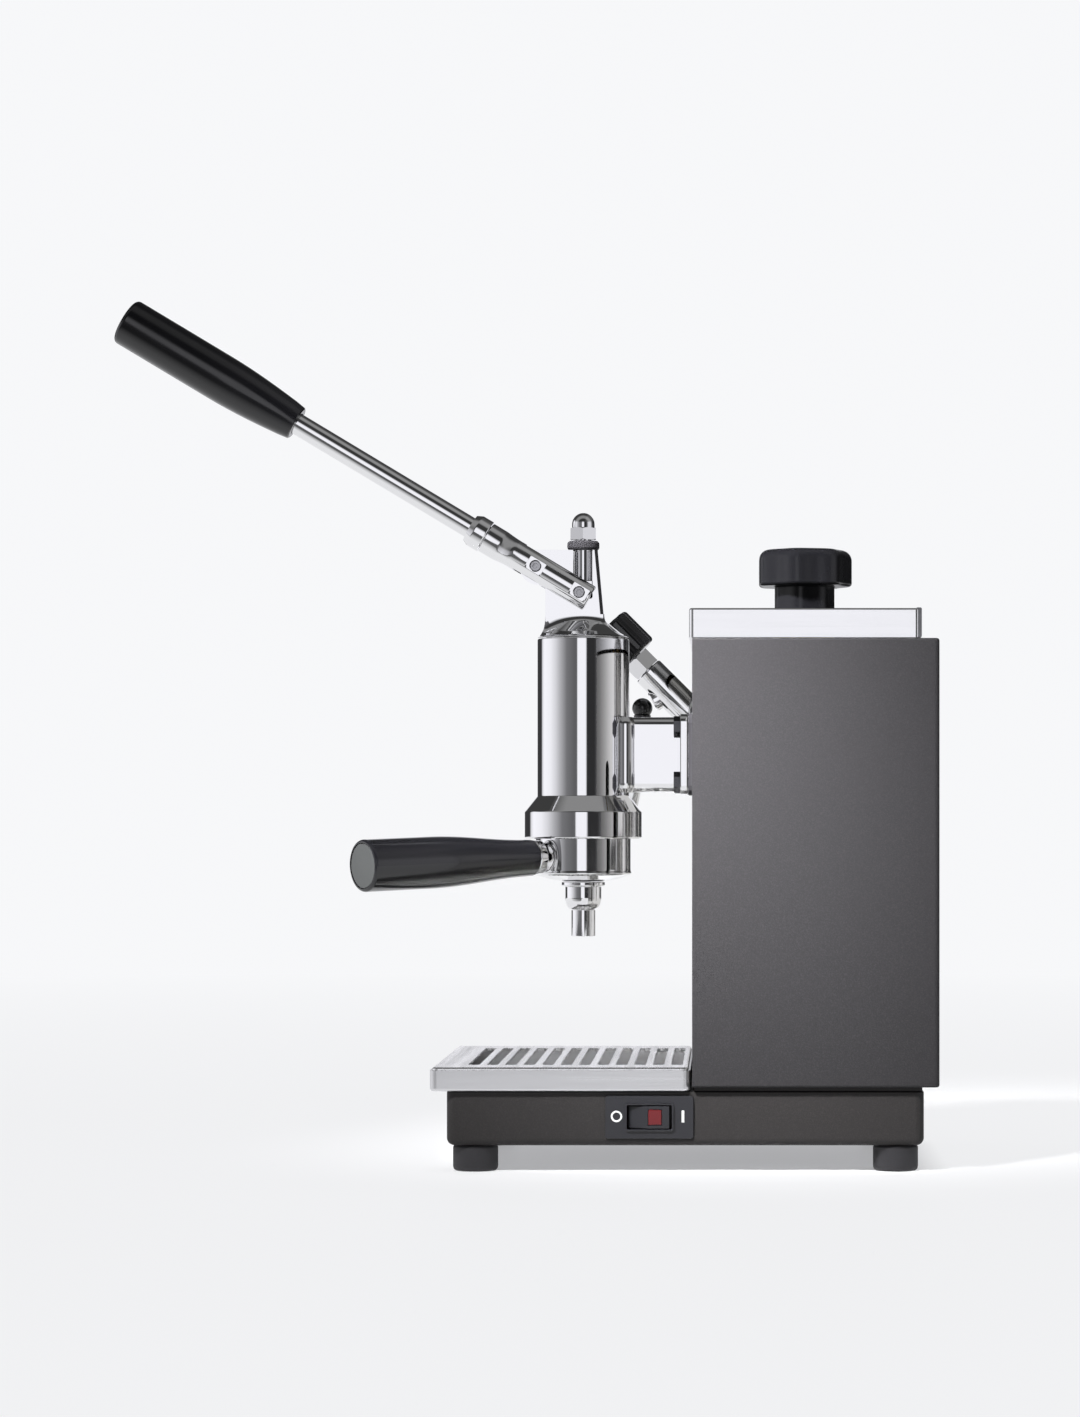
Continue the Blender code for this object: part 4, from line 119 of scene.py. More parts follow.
def add_group(tree, group, **inputs):
    """Place a shader group in a tree, with its own values."""
    node = tree.nodes.new("ShaderNodeGroup")
    node.node_tree = group
    return feed_all(tree, node, inputs)


def math_node(tree, operation, a, b=0.0):
    node = tree.nodes.new("ShaderNodeMath")
    node.operation = operation
    feed(tree, node.inputs[0], a)
    feed(tree, node.inputs[1], b)
    return node.outputs[0]


def map_range(tree, value, low, high, to_low, to_high):
    return add_node(tree, "MapRange", Value=value, From_Min=low, From_Max=high, To_Min=to_low,
                    To_Max=to_high).outputs[0]


def mixed(tree, mask, colour, other):
    """The colour where the mask is 0 and the other where it is 1."""
    mix = tree.nodes.new("ShaderNodeMix")
    mix.data_type = "RGBA"
    feed(tree, mix.inputs[MIX_SHARE], mask)
    feed(tree, mix.inputs[MIX_FIRST], colour)
    feed(tree, mix.inputs[MIX_SECOND], other)
    return mix.outputs[MIX_RESULT]


def new_group(name, inputs, outputs):
    """An empty shader group with named float or vector inputs and outputs."""
    group = bpy.data.node_groups.new(name, "ShaderNodeTree")
    for label, kind, value in inputs:
        socket = group.interface.new_socket(label, in_out="INPUT", socket_type=f"NodeSocket{kind}")
        if value is not None:
            socket.default_value = value
    for label, kind in outputs:
        group.interface.new_socket(label, in_out="OUTPUT", socket_type=f"NodeSocket{kind}")
    print(f"group {name}: {', '.join(label for label, *_ in inputs)}")
    return group, group.nodes.new("NodeGroupInput"), group.nodes.new("NodeGroupOutput")


# %% [markdown]
# ## Three effects that the finishes share
# Powder coat is a paint that is sprayed on as dust and melted: its skin is a fine orange peel with a
# faint speckle. Brushed or satin steel carries long parallel scratches from an abrasive belt. And
# whatever is touched or stands about gathers a thin film, which changes the gloss in soft patches.

# %% Group: the orange peel and speckle of powder coat
SPECK_FINER = 2.3
SPECK_FROM, SPECK_FULL = 0.45, 0.75

peel, peel_in, peel_out = new_group(
    "powder_peel",
    (("Vector", "Vector", None), ("Grain Size", "Float", 900.0), ("Speckle", "Float", 0.2)),
    (("Height", "Float"), ("Speckle", "Float")),
)
peel_noise = add_node(peel, "TexNoise", Vector=peel_in.outputs["Vector"],
                      Scale=peel_in.outputs["Grain Size"], Detail=2.0, Roughness=0.5)
speck_scale = math_node(peel, "MULTIPLY", peel_in.outputs["Grain Size"], SPECK_FINER)
speck_noise = add_node(peel, "TexNoise", Vector=peel_in.outputs["Vector"], Scale=speck_scale,
                       Detail=1.0, Roughness=0.6)
speck = map_range(peel, speck_noise.outputs[0], SPECK_FROM, SPECK_FULL, 0.0, peel_in.outputs["Speckle"])
feed_all(peel, peel_out, {"Height": peel_noise.outputs[0], "Speckle": speck})

# %% Group: the parallel scratches of brushed metal
BROADER, FINE_SHARE, BROAD_SHARE = 0.12, 0.6, 0.4

brush, brush_in, brush_out = new_group(
    "brushed_grain",
    (("Vector", "Vector", None), ("Across", "Float", 1800.0), ("Along", "Vector", (1.0, 0.02, 1.0))),
    (("Height", "Float"), ("Streaks", "Float")),
)
stretch = brush.nodes.new("ShaderNodeVectorMath")
stretch.operation = "MULTIPLY"
brush.links.new(brush_in.outputs["Vector"], stretch.inputs[0])
brush.links.new(brush_in.outputs["Along"], stretch.inputs[1])
scratch = add_node(brush, "TexNoise", Vector=stretch.outputs[0], Scale=brush_in.outputs["Across"],
                   Detail=3.0, Roughness=0.65)
broad_scale = math_node(brush, "MULTIPLY", brush_in.outputs["Across"], BROADER)
broad = add_node(brush, "TexNoise", Vector=stretch.outputs[0], Scale=broad_scale, Detail=2.0,
                 Roughness=0.5)
streaks = math_node(brush, "ADD", math_node(brush, "MULTIPLY", scratch.outputs[0], FINE_SHARE),
                    math_node(brush, "MULTIPLY", broad.outputs[0], BROAD_SHARE))
feed_all(brush, brush_out, {"Height": scratch.outputs[0], "Streaks": streaks})

# %% Group: a soft film from handling
PATCH_FROM, PATCH_FULL = 0.42, 0.72

film, film_in, film_out = new_group(
    "handling_film",
    (("Vector", "Vector", None), ("Patch Size", "Float", 18.0), ("Strength", "Float", 0.05)),
    (("Gloss Loss", "Float"),),
)
patch = add_node(film, "TexNoise", Vector=film_in.outputs["Vector"], Scale=film_in.outputs["Patch Size"],
                 Detail=4.0, Roughness=0.6, Distortion=0.4)
loss = map_range(film, patch.outputs[0], PATCH_FROM, PATCH_FULL, 0.0, film_in.outputs["Strength"])
feed_all(film, film_out, {"Gloss_Loss": loss})

# %% [markdown]
# ## The finishes
# Each finish is one material with its own values for those groups. The plain numbers, such as the
# coat or the level of the gloss, are set on the shader itself.

# %% Helpers: a material around the Principled shader


def recipe(material):
    """What every finish is built with: the tree, its shader and the object's own coordinates."""
    tree = material.node_tree
    return tree, tree.nodes["Principled BSDF"], add_node(tree, "TexCoord").outputs["Object"]


def finish(name, colour, metallic, roughness, film_strength, patch_size, **sockets):
    """A material whose roughness varies with the handling film."""
    material = bpy.data.materials.new(name)
    material.use_nodes = True
    tree, shader, where = recipe(material)
    wear = add_group(tree, film, Vector=where, Patch_Size=patch_size, Strength=film_strength)
    rough = math_node(tree, "ADD", wear.outputs["Gloss Loss"], roughness)
    feed_all(tree, shader, {"Base_Color": (*colour, 1.0), "Metallic": metallic, "Roughness": rough,
                            **sockets})
    print(f"{name}: roughness {roughness} and up to {film_strength} more")
    return material


def add_bump(tree, shader, height, distance, strength):
    bump = add_node(tree, "Bump", Height=height, Distance=distance, Strength=strength)
    tree.links.new(bump.outputs[0], shader.inputs["Normal"])


# %% Powder coat on the housing and on the base
SPECKLE, PEEL_DEEP, PEEL_STRENGTH = 0.55, 0.00012, 0.6


def powder_coat(name, colour, light, roughness, grain):
    """Matt powder coat with light specks."""
    material = finish(name, colour, 0.0, roughness, 0.06, 9.0, Specular_IOR_Level=0.17)
    tree, shader, where = recipe(material)
    skin = add_group(tree, peel, Vector=where, Grain_Size=grain, Speckle=SPECKLE)
    specked = mixed(tree, skin.outputs["Speckle"], (*colour, 1.0), (*light, 1.0))
    tree.links.new(specked, shader.inputs["Base Color"])
    add_bump(tree, shader, skin.outputs["Height"], PEEL_DEEP, PEEL_STRENGTH)
    return material


housing_coat = powder_coat("housing_coat", (0.021, 0.0203, 0.0217), (0.038, 0.0367, 0.039), 0.46, 850.0)
base_coat = powder_coat("base_coat", (0.021, 0.0197, 0.0197), (0.038, 0.0355, 0.0355), 0.50, 950.0)

# %% Satin steel, brushed along one way
SCRATCH_DEEP, SCRATCH_STRENGTH = 0.00003, 0.5
STREAK_LOW, STREAK_HIGH = 0.3, 0.7
ALONG_X, ALONG_Y, ALONG_Z = (0.015, 1.0, 1.0), (1.0, 0.015, 1.0), (1.0, 1.0, 0.015)


def satin_steel(name, colour, roughness, along, across=1600.0, streak=0.10):
    """Steel with parallel scratches; its streaks are a little duller and brighter by turns."""
    material = finish(name, colour, 1.0, roughness, 0.03, 14.0)
    tree, shader, where = recipe(material)
    grain = add_group(tree, brush, Vector=where, Across=across, Along=along)
    varied = map_range(tree, grain.outputs["Streaks"], STREAK_LOW, STREAK_HIGH, -streak, streak)
    rough = shader.inputs["Roughness"].links[0].from_socket
    tree.links.new(math_node(tree, "ADD", rough, varied), shader.inputs["Roughness"])
    add_bump(tree, shader, grain.outputs["Height"], SCRATCH_DEEP, SCRATCH_STRENGTH)
    return material


TRAY_COLOUR = (0.71, 0.71, 0.725)
lid_steel = satin_steel("lid_steel", (0.86, 0.86, 0.87), 0.15, ALONG_Y, streak=0.05)
tray_steel = satin_steel("tray_steel", TRAY_COLOUR, 0.33, ALONG_Y)
grate_steel = satin_steel("grate_steel", (0.88, 0.88, 0.89), 0.26, ALONG_X)
panel_steel = satin_steel("panel_steel", (0.80, 0.79, 0.76), 0.13, ALONG_Z, streak=0.04)
bolt_steel = satin_steel("bolt_steel", (0.11, 0.11, 0.12), 0.30, ALONG_X, across=900.0)
# The hem is darker than the lid's steel: its colour is painted shade along the lid's rear edge.
hem_painted_shade_steel = satin_steel("hem_painted_shade_steel", (0.20, 0.20, 0.21), 0.36, ALONG_Y)
plain_steel = satin_steel("plain_steel", (0.45, 0.45, 0.47), 0.28, ALONG_X, across=900.0)

# %% [markdown]
# Painted light on the tray's floor: faces that look up and are deep in the tray are made pale and dull,
# so that the floor seen through the grate's slots reads brighter than the light under the grate makes it.
# The mask is made from the normal and the height.

# %% Painted light: the tray's floor made pale and dull
PAINTED_LIGHT_COLOUR, PAINTED_LIGHT_METALLIC = (0.70, 0.70, 0.70), 0.15
LEVEL_FROM, LEVEL_FULL = 0.5, 0.9
PAINTED_LIGHT_BELOW, PAINTED_LIGHT_ENDS = 0.047, 0.049

tree, shader, where = recipe(tray_steel)
facing = add_node(tree, "SeparateXYZ", Vector=add_node(tree, "NewGeometry").outputs["Normal"])
height = add_node(tree, "SeparateXYZ", Vector=where)
painted_light_mask = math_node(tree, "MULTIPLY",
                  map_range(tree, facing.outputs["Z"], LEVEL_FROM, LEVEL_FULL, 0.0, 1.0),
                  map_range(tree, height.outputs["Z"], PAINTED_LIGHT_BELOW, PAINTED_LIGHT_ENDS, 1.0, 0.0))
tree.links.new(map_range(tree, painted_light_mask, 0.0, 1.0, 1.0, PAINTED_LIGHT_METALLIC), shader.inputs["Metallic"])
tree.links.new(mixed(tree, painted_light_mask, (*TRAY_COLOUR, 1.0), (*PAINTED_LIGHT_COLOUR, 1.0)), shader.inputs["Base Color"])
# How high above the table the painted light reaches.
print(f"the film lies up to {PAINTED_LIGHT_ENDS / MM:.0f} mm above the table")

# %% Chrome, phenolic and the metals inside
chrome = finish("chrome", (0.86, 0.86, 0.87), 1.0, 0.035, 0.05, 26.0)
phenolic = finish("black_phenolic", (0.004, 0.004, 0.005), 0.0, 0.16, 0.08, 30.0,
                  Coat_Weight=0.3, Coat_Roughness=0.05)
cap_black = finish("cap_black", (0.005, 0.005, 0.006), 0.0, 0.24, 0.08, 30.0, Specular_IOR_Level=0.30)
brass = finish("brass", (0.62, 0.43, 0.17), 1.0, 0.28, 0.12, 40.0)
copper = finish("copper", (0.74, 0.34, 0.21), 1.0, 0.30, 0.12, 40.0)

# %% Rubber, moulded plastic and the small finishes


def pebbled(material, grain, detail, deep, strength):
    """Give a finish the fine pebbled skin that a mould leaves."""
    tree, shader, where = recipe(material)
    pebbles = add_node(tree, "TexNoise", Vector=where, Scale=grain, Detail=detail)
    add_bump(tree, shader, pebbles.outputs[0], deep, strength)
    return material


rubber = pebbled(finish("rubber", (0.020, 0.0193, 0.0215), 0.0, 0.62, 0.10, 40.0),
                 1400.0, 2.0, 0.0001, 0.4)
moulded = pebbled(finish("moulded_plastic", (0.012, 0.012, 0.0145), 0.0, 0.34, 0.06, 40.0),
                  2200.0, 1.0, 0.00005, 0.35)
red_lens = finish("red_lens", (0.085, 0.004, 0.006), 0.0, 0.14, 0.04, 60.0, Transmission_Weight=0.15)
end_grey = finish("end_grey", (0.036, 0.038, 0.038), 0.0, 0.36, 0.08, 50.0)
silicone = finish("silicone", (0.36, 0.07, 0.045), 0.0, 0.50, 0.06, 40.0)
print_white = finish("print_white", (0.50, 0.51, 0.50), 0.0, 0.45, 0.05, 60.0)
glass = bpy.data.materials.new("level_glass")
glass.use_nodes = True
feed_all(glass.node_tree, glass.node_tree.nodes["Principled BSDF"],
         {"Base_Color": (0.93, 0.97, 0.95, 1.0), "Roughness": 0.03, "Transmission_Weight": 0.95})

# %% [markdown]
# ## Dressing the frame's own nodes
# The plain sheets and the pieces that are hidden inside keep the frame's shape. They only get their
# finishes, by the material slot that the record names.

# %% Finishes on the frame's nodes
BY_SLOT = {
    "chrome": chrome, "satin": lid_steel, "coat": housing_coat, "base_coat": base_coat,
    "black": phenolic, "rubber": rubber, "plastic": moulded, "red": red_lens, "brass": brass,
    "copper": copper, "steel": plain_steel, "glass": glass, "seal": silicone, "disc": end_grey,
}
SLOT_OF = {entry["node"]: entry["material_slot"] for entry in frame["record"]["subparts"]}
for node, slot in SLOT_OF.items():
    for holder in frame["nodes"][node].material_slots:
        holder.material = BY_SLOT[slot]
for node in ("group_gasket", "bell_gasket", "piston_seal"):
    frame["nodes"][node].material_slots[0].material = rubber
print(f"{len(SLOT_OF)} nodes have their finishes")

# %% [markdown]
# ## The studio
# A pale sweep under soft light. Polished metal has no look of its own: it shows the room. So the
# room is given what a studio has, bright panels to the front, the side and above, and dark gaps
# between them, which draw the black and white bands down the chrome.

# %% The walls that metal reflects
BANDS = (  # degrees round from the camera's side, and how bright the room is there
    (-180, 0.95), (-169, 0.95), (-163, 0.05), (-128, 0.04), (-121, 0.85), (-112, 1.08), (-88, 1.0),
    (-72, 0.78), (-57, 0.48), (-40, 0.20), (-20, 0.13), (-14, 0.13), (-12, 1.04), (8, 1.04), (11, 0.03),
    (30, 0.03), (42, 0.14), (52, 0.75), (80, 0.80), (96, 0.25), (108, 0.04), (161, 0.04), (168, 0.95),
    (180, 0.95),
)
COOL = (0.985, 0.985, 1.03)

world = bpy.data.worlds.new("studio")
bpy.context.scene.world = world
world.use_nodes = True
room = world.node_tree
way = add_node(room, "SeparateXYZ", Vector=add_node(room, "TexCoord").outputs["Generated"]).outputs
turn = math_node(room, "ARCTAN2", way["Y"], way["X"])
walls = room.nodes.new("ShaderNodeValToRGB")
walls.color_ramp.interpolation = "LINEAR"
room.links.new(map_range(room, turn, -pi, pi, 0.0, 1.0), walls.inputs[0])
stops = walls.color_ramp.elements
stops[0].position, stops[1].position = 0.0, 1.0
stops[0].color = stops[1].color = (*(BANDS[0][1] * tint for tint in COOL), 1.0)
for angle, level in BANDS[1:-1]:
    stop = stops.new((angle + 180) / 360)
    stop.color = (*(level * tint for tint in COOL), 1.0)
print(f"{len(BANDS)} stops of light round the room")

# %% The ceiling, and the plain backdrop that the camera sees
CEILING_FROM, CEILING_FULL = 0.28, 0.46  # how steeply a ray has to rise to meet it
CEILING_FAR, CEILING_PANEL, CEILING_NEAR, CEILING_REAR = 0.05, 0.27, 0.04, 0.06
PANEL_STARTS, PANEL_ENDS, REAR_STARTS = (-0.20, 0.10), (0.45, 0.62), (0.32, 0.46)
BACKDROP = (0.93, 0.935, 0.95, 1.0)

panel_light = math_node(room, "MINIMUM",
                        map_range(room, way["X"], *PANEL_STARTS, CEILING_FAR, CEILING_PANEL),
                        map_range(room, way["X"], *PANEL_ENDS, CEILING_PANEL, CEILING_NEAR))
rear_light = map_range(room, way["Y"], *REAR_STARTS, 0.0, CEILING_REAR)
overhead = map_range(room, way["Z"], CEILING_FROM, CEILING_FULL, 0.0, 1.0)
lit = mixed(room, overhead, walls.outputs[0], math_node(room, "ADD", panel_light, rear_light))
seen_straight = add_node(room, "LightPath").outputs["Is Camera Ray"]
feed_all(room, room.nodes["Background"], {"Color": mixed(room, seen_straight, lit, BACKDROP),
                                          "Strength": 1.0})
print(f"the ceiling's panel has {CEILING_PANEL} of the light of paper")

# %% Lamps


def softbox(name, place, target, size, watts, spread=180.0):
    """A square lamp that faces a point. Metal shows the room's bands alone, and no lamp."""
    light = bpy.data.lights.new(name, "AREA")
    light.shape = "RECTANGLE"
    light.size = light.size_y = size
    light.energy = watts
    light.spread = radians(spread)
    lamp = bpy.data.objects.new(name, light)
    bpy.context.scene.collection.objects.link(lamp)
    lamp.location = place
    lamp.rotation_euler = (Vector(target) - Vector(place)).to_track_quat("-Z", "Y").to_euler()
    lamp.visible_glossy = False
    print(f"{name}: {watts} W")


softbox("key_light", (0.75, -0.35, 0.95), (0.1, 0.032, 0.29), size=0.25, watts=3.0, spread=18.0)
softbox("top_light", (0.0, 0.1, 2.2), (0.0, 0.1, 0.0), size=3.0, watts=30.0)

# %% [markdown]
# The sweep is white paper. It glows like the backdrop, so that no edge shows between them. Close to the
# machine it glows a little less, so that the lamps' own shade shows there, and a box of painted shadow
# under the base takes most of its glow away.

# %% The sweep that the machine stands on
SWEEP_SIZE = 6.0
PAPER_COLOUR, PAPER_ROUGH = (0.86, 0.86, 0.87, 1.0), 0.55
GLOW_NEAR, FADE_STARTS, FADE_ENDS = 0.87, 0.45, 2.6
SHADE_X, SHADE_Y, SHADE_MIDDLE_Y, SHADE_DEEP = (0.080, 0.110), (0.112, 0.142), 0.0915, 0.54


def deselect():
    bpy.ops.object.select_all(action="DESELECT")


deselect()
bpy.ops.mesh.primitive_plane_add(size=SWEEP_SIZE, location=(0.0, 0.0, 0.0))
floor = bpy.context.object
floor.name = "studio_floor"
sweep = bpy.data.materials.new("sweep_paper")
sweep.use_nodes = True
floor.data.materials.append(sweep)
paper, paper_shader, where = recipe(sweep)
feed_all(paper, paper_shader, {"Base_Color": PAPER_COLOUR, "Roughness": PAPER_ROUGH})
spot = add_node(paper, "SeparateXYZ", Vector=where).outputs
# Painted shadow: a box of the sweep about the size of the base, under it, loses part of its glow.
beside = map_range(paper, math_node(paper, "ABSOLUTE", spot["X"]), *SHADE_X, 1.0, 0.0)
along = math_node(paper, "ABSOLUTE", math_node(paper, "SUBTRACT", spot["Y"], SHADE_MIDDLE_Y))
painted_shadow_box = math_node(paper, "MULTIPLY", beside, map_range(paper, along, *SHADE_Y, 1.0, 0.0))
away = paper.nodes.new("ShaderNodeVectorMath")
away.operation = "LENGTH"
paper.links.new(where, away.inputs[0])
fade = map_range(paper, away.outputs["Value"], FADE_STARTS, FADE_ENDS, GLOW_NEAR, 1.0)
fade = math_node(paper, "SUBTRACT", fade, math_node(paper, "MULTIPLY", painted_shadow_box, SHADE_DEEP))
print(f"the sweep is {SWEEP_SIZE} m square")

# %% [markdown]
# A painted reflection: a patch of the sweep to the front, out of the picture, is black for reflections
# alone, as a black card lying on the table would be. It draws the dark line along the underside of the
# chrome.

# %% The painted reflection of a black card, and the sweep's three parts put together
PAINTED_REFLECTION_X, PAINTED_REFLECTION_Y, PAINTED_REFLECTION_DARK = (0.20, 0.90), (-0.16, -0.10), 0.88


def blend(tree, share, first, second):
    """A mix of two shaders."""
    mix = tree.nodes.new("ShaderNodeMixShader")
    for socket, value in zip(mix.inputs, (share, first, second)):
        tree.links.new(value, socket)
    return mix.outputs[0]


# Painted reflection: black only for glossy rays, in a patch to the front.
painted_card_reflection = math_node(paper, "MULTIPLY", map_range(paper, spot["X"], *PAINTED_REFLECTION_X, 0.0, PAINTED_REFLECTION_DARK),
                 map_range(paper, spot["Y"], *PAINTED_REFLECTION_Y, 1.0, 0.0))
painted_card_reflection = math_node(paper, "MULTIPLY", painted_card_reflection, add_node(paper, "LightPath").outputs["Is Glossy Ray"])
glow = add_node(paper, "Emission", Color=BACKDROP, Strength=1.0)
black = add_node(paper, "Emission", Color=(0.0, 0.0, 0.0, 1.0))
surface = blend(paper, painted_card_reflection, blend(paper, fade, paper_shader.outputs[0], glow.outputs[0]), black.outputs[0])
paper.links.new(surface, paper.nodes["Material Output"].inputs["Surface"])
bpy.context.scene.view_settings.view_transform = "Standard"
print(f"the card takes up to {PAINTED_REFLECTION_DARK} of the sweep's light from reflections")

# %% [markdown]
# ## Modelling by hand
# Most pieces of the real machine are turned on a lathe, bent from sheet or milled from bar. On screen
# a turned piece is a disc that is extruded along its axis and scaled at each step, a sheet is a cube
# with faces taken away and a thickness added, and a milled piece is a block with others cut from it.
# From here on, lengths are in millimetres and are measured from the group's axis and the table.

# %% Helpers: picking and edit mode


def mm(*values):
    return tuple(value * MM for value in values)


def pick(piece):
    deselect()
    piece.select_set(True)
    bpy.context.view_layer.objects.active = piece


def edit(piece):
    pick(piece)
    bpy.ops.object.mode_set(mode="EDIT")
    bpy.ops.mesh.select_all(action="SELECT")


def done():
    bpy.ops.object.mode_set(mode="OBJECT")


def select_parts(piece, kind, test):
    """In edit mode, select the edges or faces that pass a test."""
    bpy.ops.mesh.select_mode(type=kind)
    bpy.ops.mesh.select_all(action="DESELECT")
    mesh = bmesh.from_edit_mesh(piece.data)
    mesh.normal_update()
    for part in mesh.edges if kind == "EDGE" else mesh.faces:
        if test(part):
            part.select = True
    mesh.select_flush_mode()
    bmesh.update_edit_mesh(piece.data)


# %% Helpers: placing and copying
GROUP_MM = GROUP_Y / MM


def settle(piece):
    """Put an object's place, turn and scale into its mesh."""
    pick(piece)
    bpy.ops.object.transform_apply(location=True, rotation=True, scale=True)
    return piece


def moved(piece, x=0.0, y=0.0, z=0.0, turn=(0.0, 0.0, 0.0)):
    """Turn and move a piece or a tool inside its own frame."""
    piece.rotation_euler = turn
    piece.location = mm(x, y, z)
    return settle(piece)


def place(piece, x=0.0, y=0.0, z=0.0, turn=(0.0, 0.0, 0.0)):
    """Turn a piece and move it to a point that is measured from the group's axis."""
    return moved(piece, x, y + GROUP_MM, z, turn)


def copy_of(piece):
    """A copy with its own mesh."""
    pick(piece)
    bpy.ops.object.duplicate(linked=False)
    return bpy.context.object


def gather(pieces):
    """Join separate shells into one object."""
    deselect()
    for piece in pieces:
        piece.select_set(True)
    bpy.context.view_layer.objects.active = pieces[0]
    bpy.ops.object.join()
    return pieces[0]


# %% Helpers: cutting, welding and breaking edges


def apply_modifier(piece, kind, **settings):
    pick(piece)
    bpy.ops.object.modifier_add(type=kind)
    modifier = piece.modifiers[-1]
    for name, value in settings.items():
        setattr(modifier, name, value)
    bpy.ops.object.modifier_apply(modifier=modifier.name)


def boolean(piece, tool, operation):
    apply_modifier(piece, "BOOLEAN", operation=operation, object=tool, solver="EXACT")
    bpy.data.objects.remove(tool)
    return piece


def cut(piece, *tools):
    for tool in tools:
        boolean(piece, tool, "DIFFERENCE")
    return piece


def weld_on(piece, *tools):
    for tool in tools:
        boolean(piece, tool, "UNION")
    return piece


def slice_off(piece, point, normal):
    """Cut away what lies on the normal's side of a plane, and close the cut."""
    edit(piece)
    bpy.ops.mesh.bisect(plane_co=mm(*point), plane_no=normal, use_fill=True, clear_outer=True)
    done()
    return piece


def break_edges(piece, width, segments=2, angle=35):
    """Take the sharpness off the edges, as a file or a polishing wheel does."""
    apply_modifier(piece, "BEVEL", width=width * MM, segments=segments, limit_method="ANGLE",
                   angle_limit=radians(angle))
    return piece


# %% Helpers: finishing a piece
BODY_OF = {node: body for body, members in frame["record"]["behaviour"]["bodies"].items()
           for node in members}
SMOOTH_ANGLE = radians(32)
WELD_REACH = 0.004


def mend(piece):
    """Merge doubled points and turn all faces outwards."""
    edit(piece)
    bpy.ops.mesh.remove_doubles(threshold=WELD_REACH * MM)
    bpy.ops.mesh.normals_make_consistent(inside=False)
    done()
    return piece


def add_on(piece, name, body, material, node=None, angle=SMOOTH_ANGLE):
    """Finish a piece: its name, finish and shading, and the body it rides on."""
    mend(piece)
    piece.name = piece.data.name = name
    piece.data.materials.clear()
    piece.data.materials.append(material)
    pick(piece)
    bpy.ops.object.shade_smooth_by_angle(angle=angle)
    apply_modifier(piece, "WEIGHTED_NORMAL", mode="FACE_AREA", keep_sharp=True)
    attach(piece, body)
    if node:
        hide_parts(node)
    print(f"{name}: {len(piece.data.polygons)} faces, on {body}")


def dress(piece, node, material, angle=SMOOTH_ANGLE):
    """Finish a piece that stands for a node of the frame."""
    add_on(piece, f"{node}_look", BODY_OF[node], material, node, angle)


# %% Helpers: turned pieces
VERY_FINE, FINE, MEDIUM, SMALL = 128, 96, 64, 40
SAME = 1e-6


def extrude(x=0.0, y=0.0, z=0.0):
    bpy.ops.mesh.extrude_region_move(TRANSFORM_OT_translate={"value": mm(x, y, z)})


def start_disc(radius, height, sides, turn=0.0):
    """A disc to extrude from, in edit mode."""
    bpy.ops.mesh.primitive_circle_add(vertices=sides, radius=radius * MM, fill_type="NGON",
                                      location=mm(0.0, 0.0, height), rotation=(0.0, 0.0, turn))
    piece = settle(bpy.context.object)
    edit(piece)
    return piece


def turned(profile, sides=FINE):
    """A disc extruded along Z and scaled at every (radius, height) step of its profile."""
    radius, height = profile[0]
    piece = start_disc(radius, height, sides)
    for wide, level in profile[1:]:
        extrude(z=level - height)
        if abs(wide - radius) > SAME:
            share = wide / radius
            bpy.ops.transform.resize(value=(share, share, 1.0), center_override=mm(0.0, 0.0, level))
        radius, height = wide, level
    done()
    return mend(piece)


def eased(profile, size=0.5, steps=3):
    """The profile with its inner corners rounded, each at most over a third of the runs beside it."""
    points = [Vector(point) for point in profile]
    path = [points[0]]
    for before, corner, after in zip(points, points[1:], points[2:]):
        back = min(size, (before - corner).length / 3)
        on = min(size, (after - corner).length / 3)
        start = corner + (before - corner).normalized() * back
        end = corner + (after - corner).normalized() * on
        for k in range(steps + 1):
            share = k / steps
            path.append(start.lerp(corner, share).lerp(corner.lerp(end, share), share))
    return [tuple(point) for point in path + [points[-1]]]


def arc(radius, height, size, start, end, steps=8):
    """(radius, height) points of a round corner between two angles in degrees."""
    angles = [radians(start + (end - start) * k / steps) for k in range(steps + 1)]
    return [(radius + size * cos(a), height + size * sin(a)) for a in angles]


def pin_along(axis, radius, low, high, sides=MEDIUM):
    """A plain round bar along X, Y or Z."""
    turn = {"X": (0.0, pi / 2, 0.0), "Y": (-pi / 2, 0.0, 0.0), "Z": (0.0, 0.0, 0.0)}[axis]
    return moved(turned([(radius, low), (radius, high)], sides), turn=turn)


def wedge(radius, low, high, centre, width):
    """A sector of a disc about Z; its centre line and its width are angles in degrees."""
    piece = turned([(radius, low), (radius, high)])
    for side in (-1, 1):
        edge = radians(centre + side * width / 2)
        slice_off(piece, (0.0, 0.0, 0.0), (-side * sin(edge), side * cos(edge), 0.0))
    return piece


def hexagon(corner, low, high, cone, turn=0.0):
    """A hexagon whose corners are turned off by a round piece with a cone at its ends."""
    piece = turned([(corner, low), (corner, high)], 6)
    boolean(piece, turned(cone, MEDIUM), "INTERSECT")
    return moved(piece, turn=(0.0, 0.0, turn))


# %% Helpers: blocks with round edges


def block(low, high):
    """A cube between two corners."""
    low, high = Vector(mm(*low)), Vector(mm(*high))
    bpy.ops.mesh.primitive_cube_add(size=1.0, location=(low + high) / 2)
    piece = bpy.context.object
    piece.scale = high - low
    return settle(piece)


def corners(axis, low, high, at, half):
    """The corners of a block from low to high along X or Y, about the point at, seen that way."""
    first = [at[0] - half[0], at[1] - half[1]]
    last = [at[0] + half[0], at[1] + half[1]]
    first.insert("XY".index(axis), low)
    last.insert("XY".index(axis), high)
    return first, last


